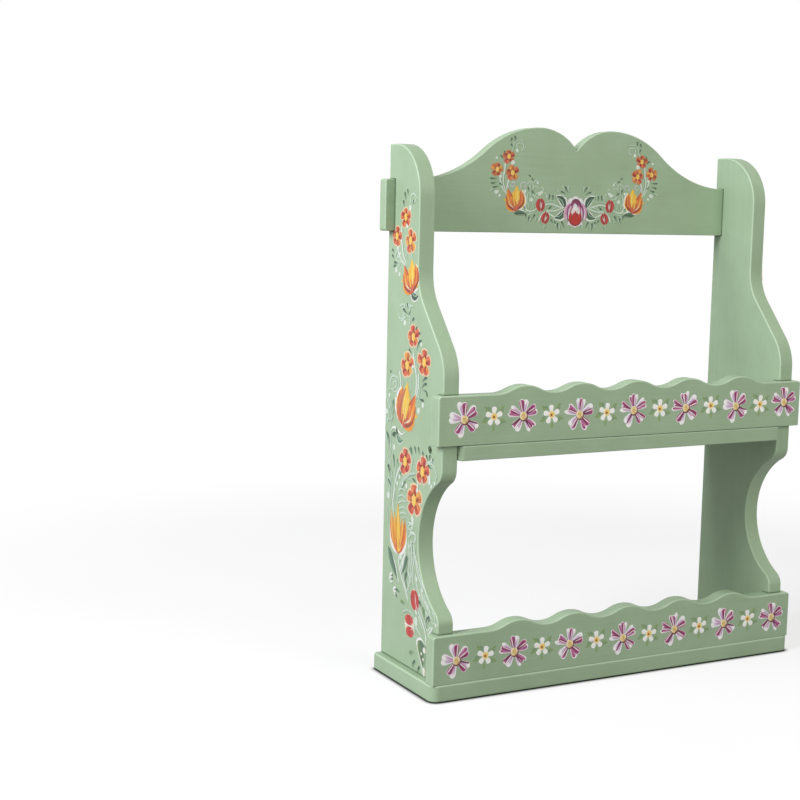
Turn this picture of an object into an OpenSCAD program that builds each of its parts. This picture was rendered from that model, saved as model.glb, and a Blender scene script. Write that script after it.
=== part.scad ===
// Two-tier open wall rack in painted wood.
// Two shaped side boards stand on a base board and carry a shelf between them.
// Scalloped rails are let into the sides' front edges, one in front of each shelf level.
// A crest board with two lobes is let into the back edges and carries the hanger plates.
// Millimetres. X runs along the shelf, +Y is the back that meets the wall, +Z is up.
// The origin is the centre of the outer box, on the underside of the base.

/* [Overall] */
// Width across the outer faces of the two side boards
rack_width = 400; // [370:1:520]
// Height of the side boards' tops above the underside of the base
side_top = 500; // [485:1:540]
// Depth of a side board at its widest, from its back edge to its front edge
side_depth = 112; // [104:1:130]
// Thickness of a side board
side_t = 16; // [13:0.5:19]

/* [Base board] */
// Thickness of the base board
base_t = 16; // [12:0.5:18]
// How far the base board runs past each side board
base_end_lip = 8; // [7:0.5:15]
// How far the base board's front edge stands in front of the lower rail
base_front_lip = 1; // [0.5:0.5:6]
// Radius of the base board's front corners in plan
base_front_r = 8; // [4:0.5:12]
// Radius of the base board's back corners in plan
base_back_r = 3; // [1:0.5:6]

/* [Shelf] */
// Height of the shelf's underside above the underside of the base
shelf_z = 219; // [212:1:235]
// Thickness of the shelf
shelf_t = 14; // [12:0.5:16]

/* [Rails] */
// Thickness of a rail
rail_t = 14; // [12:0.5:18]
// Depth of the notch in the side boards that takes a rail
rail_notch = 9; // [6:0.5:10]
// How far a rail runs past each side board
rail_end_lip = 7; // [4:0.5:10]
// Height of a rail at its flat ends and between its humps
rail_h = 45; // [35:1:50]
// Rise of a hump above the flat ends
hump_rise = 7; // [4:0.5:12]
// Number of humps along a rail
hump_count = 5; // [3:1:7]
// Mean length of the flat top between a side board and the first hump
rail_flat = 29; // [15:1:35]
// Offset of the row of humps toward the right end
hump_shift = 7; // [0:0.5:10]
// Radius of a rail's upper outer corners
rail_corner_r = 3; // [1:0.5:3.5]

/* [Crest board] */
// Thickness of the crest board
crest_t = 12; // [12:0.5:15]
// Height of the crest board at its straight ends
crest_h = 48; // [44:1:56]
// Drop from the side boards' tops to the crest's straight end tops
crest_drop = 32; // [20:1:40]
// How far the crest board runs past each side board
crest_end_lip = 10; // [6:0.5:12]
// Distance of each lobe's highest point from the middle
lobe_x = 42; // [34:1:52]
// Rise of the lobes above the crest's straight ends
lobe_rise = 53.5; // [44:0.5:60]
// Depth of the point between the lobes below their tops
lobe_v_depth = 20.5; // [12:0.5:26]
// Radius of a lobe's outer shoulder
lobe_r = 92; // [70:1:110]
// Radius of the crest board's four outer corners
crest_corner_r = 2.5; // [1:0.5:4]

/* [Side board outline] */
// Length of the flat top of a side board, from its back edge
side_top_flat = 12; // [4:1:16]
// Depth of the straight neck beside the upper bay
neck_depth = 60; // [54:1:70]
// Radius of the S-curve's two arcs between the neck and the full depth
curve_r = 45; // [35:1:45]
// Height of the S-curve
curve_h = 94; // [92:1:98]
// Height of the straight edge above the middle rail, below the S-curve
land_above_rail = 13; // [6:1:16]
// Radius of the C-shaped scoop beside the lower bay
scoop_r = 67.5; // [62:0.5:69]
// Depth of the scoop behind the straight front edge
scoop_depth = 41.2; // [34:0.2:44]
// Radius of the rounded corners where the scoop meets the front edge
scoop_corner_r = 14; // [10:0.5:15]
// Height of the straight edge between the scoop's upper corner and the shelf
land_below_shelf = 9.2; // [6:0.2:12]

/* [Fasteners] */
// Shank radius of the shelf, base and crest screws
screw_r = 2; // [1.5:0.1:2.2]
// Radius of a countersunk screw head
screw_head_r = 3.5; // [3:0.1:4]
// Height of a countersunk screw head
screw_head_h = 2.2; // [1.8:0.1:2.6]
// Depth of a screw head below the face it is driven into
head_recess = 1; // [0.5:0.1:1.5]
// Clearance round a screw's shank in the board that its head clamps
screw_clearance = 0.2; // [0.1:0.05:0.4]
// Length of a shelf screw
shelf_screw_l = 38; // [32:1:45]
// Length of a base screw
base_screw_l = 40; // [34:1:50]
// Length of a crest screw
crest_screw_l = 30; // [26:1:38]
// Radius of a dowel
dowel_r = 3; // [2.5:0.1:3.5]

/* [Hanger plates] */
// Distance from a side board's outer face in to the middle of a hanger plate
hanger_inset = 50; // [40:1:80]
// Height of a hanger plate
plate_h = 40; // [38:1:42]
// Width of a hanger plate
plate_w = 16; // [14:0.5:18]
// Thickness of a hanger plate
plate_t = 2; // [1.5:0.1:2.5]
// Radius of a hanger plate's corners
plate_corner_r = 3; // [1:0.5:5]
// Radius of the keyhole's round entry for the wall screw's head
entry_r = 4.5; // [4:0.1:5]
// Radius of the keyhole's narrow slot for the wall screw's neck
slot_r = 2.3; // [2:0.1:2.5]
// Distance from the middle of the entry up to the middle of the slot's round end
slot_rise = 12; // [10:0.5:12]
// Depth of the routed pocket behind the keyhole, from the crest's back face
pocket_depth = 8; // [6:0.5:9]

/* [Hidden] */
$fn = 96;
// Overrun of a cutting shape past the face that it cuts
over = 1;
// Largest turn from one point of an arc to the next
arc_step = 4;

half_w = rack_width / 2;
inner_half = half_w - side_t;
rail_front = side_depth + rail_t - rail_notch;
total_depth = rail_front + base_front_lip;
back_y = total_depth / 2;

lower_rail_z = base_t;
shelf_top = shelf_z + shelf_t;
middle_rail_z = shelf_top;
rail_back = side_depth - rail_notch;

crest_top = side_top - crest_drop;
crest_z = crest_top - crest_h;

// Wave of a rail: each hump is two concave and one convex arc of the same radius
hump_half = (inner_half - rail_flat) / hump_count;
hump_angle = 2 * atan(hump_rise / hump_half);
hump_r = hump_half / (2 * sin(hump_angle));

// Crest flank: a convex shoulder runs into a concave foot with the same slope
flank_run = inner_half - lobe_x;
flank_angle = 2 * atan(lobe_rise / flank_run);
foot_r = flank_run / sin(flank_angle) - lobe_r;
lobe_inner_r = (pow(lobe_x, 2) + pow(lobe_v_depth, 2)) / (2 * lobe_v_depth);
lobe_inner_angle = asin(lobe_x / lobe_inner_r);

// Side outline: shoulder, neck and S-curve above the middle rail
shoulder_r = neck_depth - side_top_flat;
curve_low = shelf_top + rail_h + land_above_rail;
curve_high = curve_low + curve_h;
curve_gap = 2 * curve_r - (side_depth - neck_depth);
curve_slope = asin(2 * curve_r / norm([curve_gap, curve_h])) - atan(curve_gap / curve_h);

// Side outline: scoop between the shelf and the lower rail
scoop_c_depth = side_depth - scoop_depth + scoop_r;
corner_c_depth = side_depth - scoop_corner_r;
corner_reach = scoop_r + scoop_corner_r;
scoop_angle = acos((scoop_c_depth - corner_c_depth) / corner_reach);
scoop_half = corner_reach * sin(scoop_angle);
scoop_z = shelf_z - land_below_shelf - scoop_half;

// Places of the fasteners, as depths in front of the back plane and heights
shelf_mid = shelf_z + shelf_t / 2;
shelf_screw_depth = 89;
shelf_dowel_depth = 24;
base_screw_depths = [25, 75];
crest_screw_heights = [crest_z + crest_h / 4, crest_z + crest_h * 3 / 4];
rail_mid = rail_h / 2;

// Dowel lengths, in the board that is let in or carried and in the side board
rail_dowel_in_rail = 8;
rail_dowel_in_side = 15;
shelf_dowel_in_shelf = 20;
shelf_dowel_in_side = 9;

// Hanger plates, placed on the crest's back face
plate_z = crest_z + 25;
entry_drop = 6;
plate_screw_offset = 16;
plate_screw_r = 1.5;
plate_screw_head_r = 2.9;
plate_screw_head_h = 1.4;
plate_screw_l = 9;
pocket_r = entry_r + 1;

// Outline helpers

// Points of an arc about c, from angle a0 to angle a1, with both ends
function arc(c, r, a0, a1) =
    let (n = ceil(abs(a1 - a0) / arc_step))
        [for (i = [0 : n]) let (a = a0 + (a1 - a0) * i / n) c + r * [cos(a), sin(a)]];

// The same outline without points that repeat the one before them
function distinct(pts) =
    [for (i = [0 : len(pts) - 1]) if (norm(pts[i] - pts[(i + len(pts) - 1) % len(pts)]) > over / 1000) pts[i]];

// The same points mirrored to the left and taken in the other direction
function mirrored(pts) = [for (i = [len(pts) - 1 : -1 : 0]) [-pts[i][0], pts[i][1]]];

module block(x0, x1, y0, y1) {
    translate([x0, y0]) square([x1 - x0, y1 - y0]);
}

// What rounding takes off a corner at the origin whose board lies toward +x and +y
module corner_waste(r) {
    difference() {
        block(-over, r, -over, r);
        translate([r, r]) circle(r);
    }
}

// Frames of the boards

// Outline of depth and height, extruded along X from x0
module side_slab(x0, t) {
    translate([x0, back_y, 0])
        mirror([0, 1, 0])
            rotate([90, 0, 90])
                linear_extrude(t) children();
}

// Outline of width and height, extruded toward the front from a depth behind it
module front_slab(depth, t) {
    translate([0, back_y - depth, 0])
        rotate([90, 0, 0])
            linear_extrude(t) children();
}

// Outline of width and depth from the back plane, extruded upward from z0
module level_slab(z0, t) {
    translate([0, back_y, z0])
        mirror([0, 1, 0])
            linear_extrude(t) children();
}

// Fasteners along +Z, with the head's outer face at the origin

module screw_body(head_r, head_h, shank_r, length) {
    cylinder(h = head_h, r1 = head_r, r2 = shank_r);
    cylinder(h = length, r = shank_r);
}

module wood_screw(length) {
    screw_body(screw_head_r, screw_head_h, screw_r, length);
}

// Hole in the clamped board: head recess, conical seat and a clear shank hole
module clamp_hole(through) {
    translate([0, 0, -head_recess - over])
        cylinder(h = head_recess + over, r = screw_head_r);
    cylinder(h = screw_head_h, r1 = screw_head_r, r2 = screw_r);
    cylinder(h = through, r = screw_r + screw_clearance);
}

module pilot_hole(length) {
    cylinder(h = length, r = screw_r);
}

// Each of these puts its children at every place of one kind of fastener

module at_shelf_screws() {
    for (s = [-1, 1])
        translate([s * (half_w - head_recess), back_y - shelf_screw_depth, shelf_mid])
            rotate([0, -s * 90, 0]) children();
}

module at_shelf_dowels() {
    for (s = [-1, 1])
        translate([s * (inner_half + shelf_dowel_in_side), back_y - shelf_dowel_depth, shelf_mid])
            rotate([0, -s * 90, 0]) children();
}

module at_base_screws() {
    for (s = [-1, 1], d = base_screw_depths)
        translate([s * (half_w - side_t / 2), back_y - d, head_recess]) children();
}

module at_crest_screws() {
    for (s = [-1, 1], z = crest_screw_heights)
        translate([s * (half_w - side_t / 2), back_y - head_recess, z])
            rotate([90, 0, 0]) children();
}

module at_rail_dowels(rail_z) {
    for (s = [-1, 1])
        translate([s * (half_w - side_t / 2), back_y - rail_back + rail_dowel_in_side, rail_z + rail_mid])
            rotate([90, 0, 0]) children();
}

module at_plate(s) {
    translate([s * (half_w - hanger_inset), back_y, plate_z])
        rotate([90, 0, 0]) children();
}

module at_plate_screws() {
    for (s = [-1, 1], dz = [-plate_screw_offset, plate_screw_offset])
        at_plate(s) translate([0, dz, 0]) children();
}

module rail_dowel() {
    cylinder(h = rail_dowel_in_side + rail_dowel_in_rail, r = dowel_r);
}

module shelf_dowel() {
    cylinder(h = shelf_dowel_in_side + shelf_dowel_in_shelf, r = dowel_r);
}

// Base board

module base_board() {
    x = half_w + base_end_lip;
    color("darkseagreen")
        difference() {
            level_slab(0, base_t)
                difference() {
                    block(-x, x, 0, total_depth);
                    for (s = [0, 1])
                        mirror([s, 0]) {
                            translate([-x, 0]) corner_waste(base_back_r);
                            translate([-x, total_depth]) mirror([0, 1]) corner_waste(base_front_r);
                        }
                }
            at_base_screws() clamp_hole(base_t + over);
        }
}

// Side boards

// Lower part of the front edge: rail notch, rounded corner, scoop, rounded corner
lower_front = concat(
    [
        [rail_back, lower_rail_z],
        [rail_back, lower_rail_z + rail_h],
        [side_depth, lower_rail_z + rail_h]
    ],
    arc([corner_c_depth, scoop_z - scoop_half], scoop_corner_r, 0, scoop_angle),
    arc([scoop_c_depth, scoop_z], scoop_r, 180 + scoop_angle, 180 - scoop_angle),
    arc([corner_c_depth, scoop_z + scoop_half], scoop_corner_r, -scoop_angle, 0)
);

// Upper part of the front edge: rail notch, S-curve, neck, shoulder
upper_front = concat(
    [
        [side_depth, middle_rail_z],
        [rail_back, middle_rail_z],
        [rail_back, middle_rail_z + rail_h],
        [side_depth, middle_rail_z + rail_h]
    ],
    arc([side_depth - curve_r, curve_low], curve_r, 0, curve_slope),
    arc([neck_depth + curve_r, curve_high], curve_r, 180 + curve_slope, 180),
    arc([side_top_flat, side_top - shoulder_r], shoulder_r, 0, 90)
);

// Back edge, downward, with the notch for the crest board
back_edge = [
    [0, side_top],
    [0, crest_top],
    [crest_t, crest_top],
    [crest_t, crest_z],
    [0, crest_z],
    [0, base_t]
];

module side_outline() {
    polygon(distinct(concat(lower_front, upper_front, back_edge)));
}

module side_board(s) {
    color("darkseagreen")
        difference() {
            side_slab(s > 0 ? inner_half : -half_w, side_t) side_outline();
            at_shelf_screws() clamp_hole(side_t);
            at_shelf_dowels() shelf_dowel();
            at_base_screws() pilot_hole(base_screw_l);
            at_crest_screws() pilot_hole(crest_screw_l);
            at_rail_dowels(lower_rail_z) rail_dowel();
            at_rail_dowels(middle_rail_z) rail_dowel();
        }
}

module left_side() {
    side_board(-1);
}

module right_side() {
    side_board(1);
}

// Shelf between the sides, with rounded corners on the strip in front of their edges

module middle_shelf() {
    front_r = rail_front - side_depth;
    color("darkseagreen")
        difference() {
            level_slab(shelf_z, shelf_t)
                difference() {
                    block(-inner_half, inner_half, 0, rail_front);
                    for (s = [0, 1])
                        mirror([s, 0])
                            translate([-inner_half, rail_front]) mirror([0, 1]) corner_waste(front_r);
                }
            at_shelf_screws() pilot_hole(shelf_screw_l);
            at_shelf_dowels() shelf_dowel();
        }
}

// Scalloped rails

// One hump at x, from its right foot over the top to its left foot
function hump(x) = concat(
    arc([x + hump_half, rail_h + hump_r], hump_r, 270, 270 - hump_angle),
    arc([x, rail_h + hump_rise - hump_r], hump_r, 90 - hump_angle, 90 + hump_angle),
    arc([x - hump_half, rail_h + hump_r], hump_r, 270 + hump_angle, 270)
);

module rail_outline() {
    x = half_w + rail_end_lip;
    corner = arc([x - rail_corner_r, rail_h - rail_corner_r], rail_corner_r, 0, 90);
    wave = [
        for (i = [hump_count - 1 : -1 : 0])
            each hump(hump_shift + (2 * i + 1 - hump_count) * hump_half)
    ];
    polygon(distinct(concat([[-x, 0], [x, 0]], corner, wave, mirrored(corner))));
}

module rail(rail_z) {
    color("seagreen")
        difference() {
            translate([0, 0, rail_z]) front_slab(rail_back, rail_t) rail_outline();
            at_rail_dowels(rail_z) rail_dowel();
        }
}

module middle_rail() {
    rail(middle_rail_z);
}

module lower_rail() {
    rail(lower_rail_z);
}

// Crest board with two lobes

module crest_outline() {
    x = half_w + crest_end_lip - crest_corner_r;
    right_half = concat(
        arc([x, crest_corner_r - crest_h], crest_corner_r, 270, 360),
        arc([x, -crest_corner_r], crest_corner_r, 0, 90),
        arc([inner_half, foot_r], foot_r, 270, 270 - flank_angle),
        arc([lobe_x, lobe_rise - lobe_r], lobe_r, 90 - flank_angle, 90),
        arc([lobe_x, lobe_rise - lobe_inner_r], lobe_inner_r, 90, 90 + lobe_inner_angle)
    );
    polygon(distinct(concat(right_half, mirrored(right_half))));
}

// Keyhole pocket for the wall screw's head, drawn in the frame of at_plate
module keyhole_pocket() {
    for (dz = [-entry_drop, slot_rise - entry_drop])
        translate([0, dz, -over]) cylinder(h = pocket_depth + over, r = pocket_r);
    translate([-pocket_r, -entry_drop, -over])
        cube([2 * pocket_r, slot_rise, pocket_depth + over]);
}

module plate_blank(h) {
    linear_extrude(h)
        difference() {
            block(-plate_w / 2, plate_w / 2, -plate_h / 2, plate_h / 2);
            for (a = [0, 1], b = [0, 1])
                mirror([a, 0]) mirror([0, b])
                    translate([-plate_w / 2, -plate_h / 2]) corner_waste(plate_corner_r);
        }
}

module crest_board() {
    color("seagreen")
        difference() {
            translate([0, 0, crest_top]) front_slab(0, crest_t) crest_outline();
            at_crest_screws() clamp_hole(crest_t + over);
            for (s = [-1, 1])
                at_plate(s) {
                    plate_blank(plate_t);
                    keyhole_pocket();
                }
            at_plate_screws() cylinder(h = plate_screw_l, r = plate_screw_r);
        }
}

// Hanger plates

module hanger_plate(s) {
    color("silver")
        difference() {
            at_plate(s) plate_blank(plate_t);
            at_plate(s) {
                translate([0, -entry_drop, -over]) cylinder(h = plate_t + 2 * over, r = entry_r);
                translate([0, slot_rise - entry_drop, -over])
                    cylinder(h = plate_t + 2 * over, r = slot_r);
                translate([-slot_r, -entry_drop, -over])
                    cube([2 * slot_r, slot_rise, plate_t + 2 * over]);
            }
            at_plate_screws() {
                cylinder(h = plate_screw_head_h, r1 = plate_screw_head_r, r2 = plate_screw_r);
                cylinder(h = plate_t + over, r = plate_screw_r);
            }
        }
}

module left_hanger_plate() {
    hanger_plate(-1);
}

module right_hanger_plate() {
    hanger_plate(1);
}

// Screws and dowels

module shelf_screws() {
    color("goldenrod") at_shelf_screws() wood_screw(shelf_screw_l);
}

module shelf_dowels() {
    color("burlywood") at_shelf_dowels() shelf_dowel();
}

module base_screws() {
    color("goldenrod") at_base_screws() wood_screw(base_screw_l);
}

module crest_screws() {
    color("goldenrod") at_crest_screws() wood_screw(crest_screw_l);
}

module middle_rail_dowels() {
    color("burlywood") at_rail_dowels(middle_rail_z) rail_dowel();
}

module lower_rail_dowels() {
    color("burlywood") at_rail_dowels(lower_rail_z) rail_dowel();
}

module hanger_screws() {
    color("silver")
        at_plate_screws()
            screw_body(plate_screw_head_r, plate_screw_head_h, plate_screw_r, plate_screw_l);
}

base_board();
left_side();
right_side();
middle_shelf();
middle_rail();
lower_rail();
crest_board();
shelf_screws();
shelf_dowels();
base_screws();
crest_screws();
middle_rail_dowels();
lower_rail_dowels();
left_hanger_plate();
right_hanger_plate();
hanger_screws();
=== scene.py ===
"""A two-tier wall rack of painted boards with traditional folk flowers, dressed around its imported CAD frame.

Lengths are written in millimetres and turned into metres where they enter Blender.
The frame has X to the right, Y to the back and Z up, with the rack standing on Z = 0.
"""

import copy
import math

import bmesh
import bpy
from mathutils.bvhtree import BVHTree
from mathutils import Matrix, Vector


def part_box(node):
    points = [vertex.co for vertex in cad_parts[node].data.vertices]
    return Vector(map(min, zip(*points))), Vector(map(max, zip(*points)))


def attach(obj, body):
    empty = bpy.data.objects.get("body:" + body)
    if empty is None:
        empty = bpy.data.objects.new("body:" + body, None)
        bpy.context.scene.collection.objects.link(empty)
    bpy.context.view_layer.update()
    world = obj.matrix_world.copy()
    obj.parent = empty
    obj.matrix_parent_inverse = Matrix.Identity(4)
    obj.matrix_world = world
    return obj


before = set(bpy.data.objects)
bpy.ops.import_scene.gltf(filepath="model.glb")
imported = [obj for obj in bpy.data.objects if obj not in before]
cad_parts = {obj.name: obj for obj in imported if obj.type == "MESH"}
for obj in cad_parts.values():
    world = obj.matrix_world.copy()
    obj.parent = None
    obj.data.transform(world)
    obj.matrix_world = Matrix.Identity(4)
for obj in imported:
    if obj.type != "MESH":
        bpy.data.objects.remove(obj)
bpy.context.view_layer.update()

MM = 0.001


# Small helpers

def linear(colour):
    """A colour of 0 to 255 per channel, as it looks on a screen, in scene-linear values."""
    values = []
    for channel in colour:
        c = channel / 255
        values.append(c / 12.92 if c <= 0.04045 else ((c + 0.055) / 1.055) ** 2.4)
    return tuple(values)


def opaque(colour):
    """The same with an alpha of 1, as a node's colour socket takes it."""
    return (*linear(colour), 1.0)


def blend(a, b, share):
    """The colour or point that lies share of the way from a to b."""
    return tuple(x + (y - x) * share for x, y in zip(a, b))


def random_share(*numbers):
    """A repeatable value from 0 to 1 for these whole numbers."""
    total = sum(n * k for n, k in zip(numbers, (12.9898, 78.233, 37.719, 4.581)))
    return math.sin(total) * 43758.5453 % 1


def place_in_scene(name, data):
    """A new object of this data in the scene."""
    made = bpy.data.objects.new(name, data)
    bpy.context.scene.collection.objects.link(made)
    return made


class Nodes:
    """A node tree, with one short call for each node. A kind without "Node" in it is a shader node."""

    def __init__(self, tree):
        self.tree = tree

    def add(self, kind, settings=None, **inputs):
        """Adds a node. An input is a constant or another node's output socket, and _0 is the first one."""
        made = self.tree.nodes.new(kind if "Node" in kind else "ShaderNode" + kind)
        for name, value in (settings or {}).items():
            setattr(made, name, value)
        for name, value in inputs.items():
            socket = made.inputs[int(name[1:]) if name[1:].isdigit() else name.replace("_", " ")]
            if isinstance(value, bpy.types.NodeSocket):
                self.tree.links.new(value, socket)
            else:
                socket.default_value = value
        return made

    def maths(self, operation, a, b=0.0, clamp=False):
        return self.add("Math", {"operation": operation, "use_clamp": clamp}, _0=a, _1=b).outputs[0]

    def share(self, value, low, high):
        """0 where value is low or less, and 1 where it is high or more."""
        return self.add("MapRange", {"clamp": True}, Value=value, From_Min=low, From_Max=high).outputs[0]

    def openness(self, reach, samples=8):
        """1 where nothing lies within reach, in metres, and less in corners."""
        return self.add("AmbientOcclusion", {"samples": samples}, Distance=reach).outputs["AO"]

    def seen(self):
        """1 where the camera, a mirror or glass shows the surface, and 0 where it only lights others."""
        path = self.add("LightPath").outputs
        either = self.maths("MAXIMUM", path["Is Camera Ray"], path["Is Glossy Ray"])
        return self.maths("MAXIMUM", either, path["Is Transmission Ray"])


NOISE_SPAN = (0.32, 0.68)       # between which nearly all of a noise's values lie


class Shader(Nodes):
    """A material under construction."""

    def __init__(self, name):
        self.material = bpy.data.materials.new(name)
        self.material.use_nodes = True
        self.material.node_tree.nodes.clear()
        super().__init__(self.material.node_tree)

    def place(self):
        return self.add("TexCoord").outputs["Object"]

    def noise(self, vector, scale, detail=3.0, roughness=0.55):
        made = self.add("TexNoise", Vector=vector, Scale=scale, Detail=detail, Roughness=roughness)
        return made.outputs["Fac"]

    def fibres(self, vector, axis, along, across, detail=3.0, roughness=0.55):
        """Noise that is drawn out along one axis, with so many marks in a metre along and across it."""
        scale = [across, across, across]
        scale[axis] = along
        return self.noise(self.stretched(vector, scale), 1.0, detail, roughness)

    def stretched(self, vector, scale):
        return self.add("Mapping", Vector=vector, Scale=scale).outputs["Vector"]

    def between(self, share, a, b):
        """Colour a where share is 0, and b where it is 1. A colour is a socket or three channels of 255."""
        a, b = (c if isinstance(c, bpy.types.NodeSocket) else opaque(c) for c in (a, b))
        made = self.add("Mix", {"data_type": "RGBA", "clamp_factor": True}, _0=share, _6=a, _7=b)
        return made.outputs[2]

    def spread(self, value, low=0.0, high=1.0):
        """Noise, which stays near its middle, spread out to run from low to high."""
        made = self.add("MapRange", {"clamp": True}, Value=value)
        for socket, number in zip(made.inputs[1:5], (*NOISE_SPAN, low, high)):
            socket.default_value = number
        return made.outputs[0]

    def raised(self, height, depth, normal=None):
        """The normal over a surface that rises by depth, in metres, where height is 1."""
        made = self.add("Bump", Height=height, Strength=1.0, Distance=depth)
        if normal is not None:
            self.tree.links.new(normal, made.inputs["Normal"])
        return made.outputs["Normal"]

    def done(self, **inputs):
        surface = self.add("BsdfPrincipled", **inputs)
        self.add("OutputMaterial", Surface=surface.outputs[0])
        return self.material


# Materials. The numbers of marks are for a metre, and depths and reaches are in metres.

SAGE = (152, 175, 143)
SAGE_DEEP = (144, 167, 134)
SAGE_PALE = (159, 182, 151)
# Paler sage for the rounded edges: a painted highlight along them
SAGE_EDGE_HIGHLIGHT = (161, 184, 153)
SAGE_EDGE_HIGHLIGHT_PALE = (169, 191, 162)
# The darkest sage is painted shade, laid into corners, grooves and joints
SAGE_PAINTED_SHADE = (48, 66, 40)
# A darker sage over the sunk shelf screws: painted shade of their recesses
SHADED_SCREW_PAINT = ((70, 92, 62), (88, 112, 78))
BEECH = ((196, 160, 118), (222, 190, 148))
BRASS = ((70, 58, 36), (118, 98, 62))
ZINC = ((136, 140, 142), (186, 189, 190))
# Near black for the driver slots: painted shade in the recesses
RECESS_SHADE = ((28, 26, 20), (52, 50, 38))
PAINTED_SHADE_REACH = 0.0042               # from a neighbour, within which the paint goes dark
PAINTED_SHADE_ON_FACES = (0.22, 0.68)     # openness at which the paint is darkest, and where it is clear
PAINTED_SHADE_ON_EDGES = (0.36, 0.86)
BRUSH_MARKS = (26.0, 1100.0)         # along the board, and across it
GRAIN = (9.0, 260.0)
PAINT_CLOUDS = 22.0
PAINT_PORES = 2600.0
TONE_SHARES = (0.5, 0.3, 0.2)        # of clouds, brush marks and grain in the paint's tone
MARK_DEPTH = 0.00006
GRAIN_DEPTH = 0.0001
PORE_DEPTH = 0.00001
BRISTLES = (0.22, 3.2, 1.0)          # bristle marks in a millimetre of a stroke, along and across it
BRISTLE_DEPTH = 0.00012
BRISTLE_SHADES = (0.90, 1.06)
PATCHES = 0.9                        # how far thin paint comes and goes with the bristle marks
FULL_COVER = 1.15                    # the cover at which it would no longer do so
BEECH_GRAIN = (30.0, 700.0)
BEECH_DEPTH = 0.00005
SCRATCHES = (90.0, 3000.0)
SCRATCH_DEPTH = 0.00002
TARNISH = 420.0
SPECKS = 900.0
SPECK_DEPTH = 0.00004


def board_paint(name, along, deep=SAGE_DEEP, pale=SAGE_PALE, shade_span=PAINTED_SHADE_ON_FACES):
    """Satin sage paint, brushed along one axis (0, 1 or 2), over wood whose grain just shows, with painted
    shade that darkens it in corners, grooves and joints.
    """
    shader = Shader(name)
    place = shader.place()
    marks = shader.fibres(place, along, *BRUSH_MARKS, 4.0, 0.6)
    grain = shader.fibres(place, along, *GRAIN, 5.0, 0.65)
    clouds = shader.noise(place, PAINT_CLOUDS)
    pores = shader.noise(place, PAINT_PORES, 2.0)
    shares = zip((clouds, marks, grain), TONE_SHARES)
    parts = [shader.maths("MULTIPLY", shader.spread(noise), share) for noise, share in shares]
    tone = shader.maths("ADD", shader.maths("ADD", parts[0], parts[1]), parts[2])
    # Painted shade: the paint goes dark where another surface lies close
    clear = shader.share(shader.openness(PAINTED_SHADE_REACH), *shade_span)
    colour = shader.between(clear, SAGE_PAINTED_SHADE, shader.between(tone, deep, pale))
    normal = shader.raised(grain, GRAIN_DEPTH)
    normal = shader.raised(marks, MARK_DEPTH, normal)
    normal = shader.raised(pores, PORE_DEPTH, normal)
    return shader.done(Base_Color=colour, Roughness=shader.spread(marks, 0.42, 0.55), Normal=normal)


def flower_paint(name):
    """Glossy artist's paint in brush strokes. The stroke's colour and cover come from its mesh."""
    shader = Shader(name)
    uv = shader.add("UVMap", {"uv_map": "brush"}).outputs["UV"]
    stored = shader.add("Attribute", {"attribute_name": "paint"}).outputs
    bristle = shader.noise(shader.stretched(uv, BRISTLES), 1.0, 3.0, 0.6)
    shade = shader.add("HueSaturation", Color=stored["Color"], Value=shader.spread(bristle, *BRISTLE_SHADES))
    patchy = shader.maths("MULTIPLY", shader.maths("SUBTRACT", shader.spread(bristle), 0.5), PATCHES)
    gaps = shader.maths("MULTIPLY", patchy, shader.maths("SUBTRACT", FULL_COVER, stored["Alpha"]))
    cover = shader.maths("ADD", stored["Alpha"], gaps, clamp=True)
    colour = shader.between(cover, SAGE, shade.outputs[0])
    return shader.done(Base_Color=colour, Roughness=shader.spread(bristle, 0.34, 0.46),
                       Normal=shader.raised(bristle, BRISTLE_DEPTH))


def bare_wood(name, dark, pale):
    """Bare wood with its grain along X."""
    shader = Shader(name)
    grain = shader.fibres(shader.place(), 0, *BEECH_GRAIN, 5.0, 0.6)
    colour = shader.between(shader.spread(grain), dark, pale)
    return shader.done(Base_Color=colour, Roughness=shader.spread(grain, 0.55, 0.7),
                       Normal=shader.raised(grain, BEECH_DEPTH))


def metal(name, dark, bright, roughness):
    """Metal with fine scratches along X, and tarnish that gathers in patches."""
    shader = Shader(name)
    place = shader.place()
    scratches = shader.fibres(place, 0, *SCRATCHES)
    patches = shader.noise(place, TARNISH, 4.0, 0.6)
    return shader.done(Base_Color=shader.between(shader.spread(patches), dark, bright), Metallic=1.0,
                       Roughness=shader.spread(scratches, roughness - 0.08, roughness + 0.1),
                       Normal=shader.raised(scratches, SCRATCH_DEPTH))


def dark_cut(name, dark, pale):
    """The bottom of a driver slot, near black with darker specks: painted shade in the recess."""
    shader = Shader(name)
    recess_shade = shader.noise(shader.place(), SPECKS, 4.0)
    colour = shader.between(shader.spread(recess_shade), dark, pale)
    return shader.done(Base_Color=colour, Roughness=shader.spread(recess_shade, 0.7, 0.9),
                       Normal=shader.raised(recess_shade, SPECK_DEPTH))


paint_along = [board_paint("sage_paint_brushed_" + axis, n) for n, axis in enumerate("xyz")]
# The rounded edges take these paler paints, a painted highlight
edge_highlight_along = [board_paint("sage_edge_highlight_brushed_" + axis, n, SAGE_EDGE_HIGHLIGHT, SAGE_EDGE_HIGHLIGHT_PALE, PAINTED_SHADE_ON_EDGES)
              for n, axis in enumerate("xyz")]
flowers = flower_paint("folk_flower_paint")
beech = bare_wood("dowel_beech", *BEECH)
# Darker paint on the shelf screws, painted shade in their recesses
shaded_screw_paint = board_paint("shaded_sage_over_screws", 0, *SHADED_SCREW_PAINT)
brass = metal("burnished_brass", *BRASS, 0.42)
zinc = metal("bright_zinc", *ZINC, 0.36)
recess_shade = dark_cut("dark_recess", *RECESS_SHADE)


# Boards: the CAD nodes carry on, with their edges eased

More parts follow.
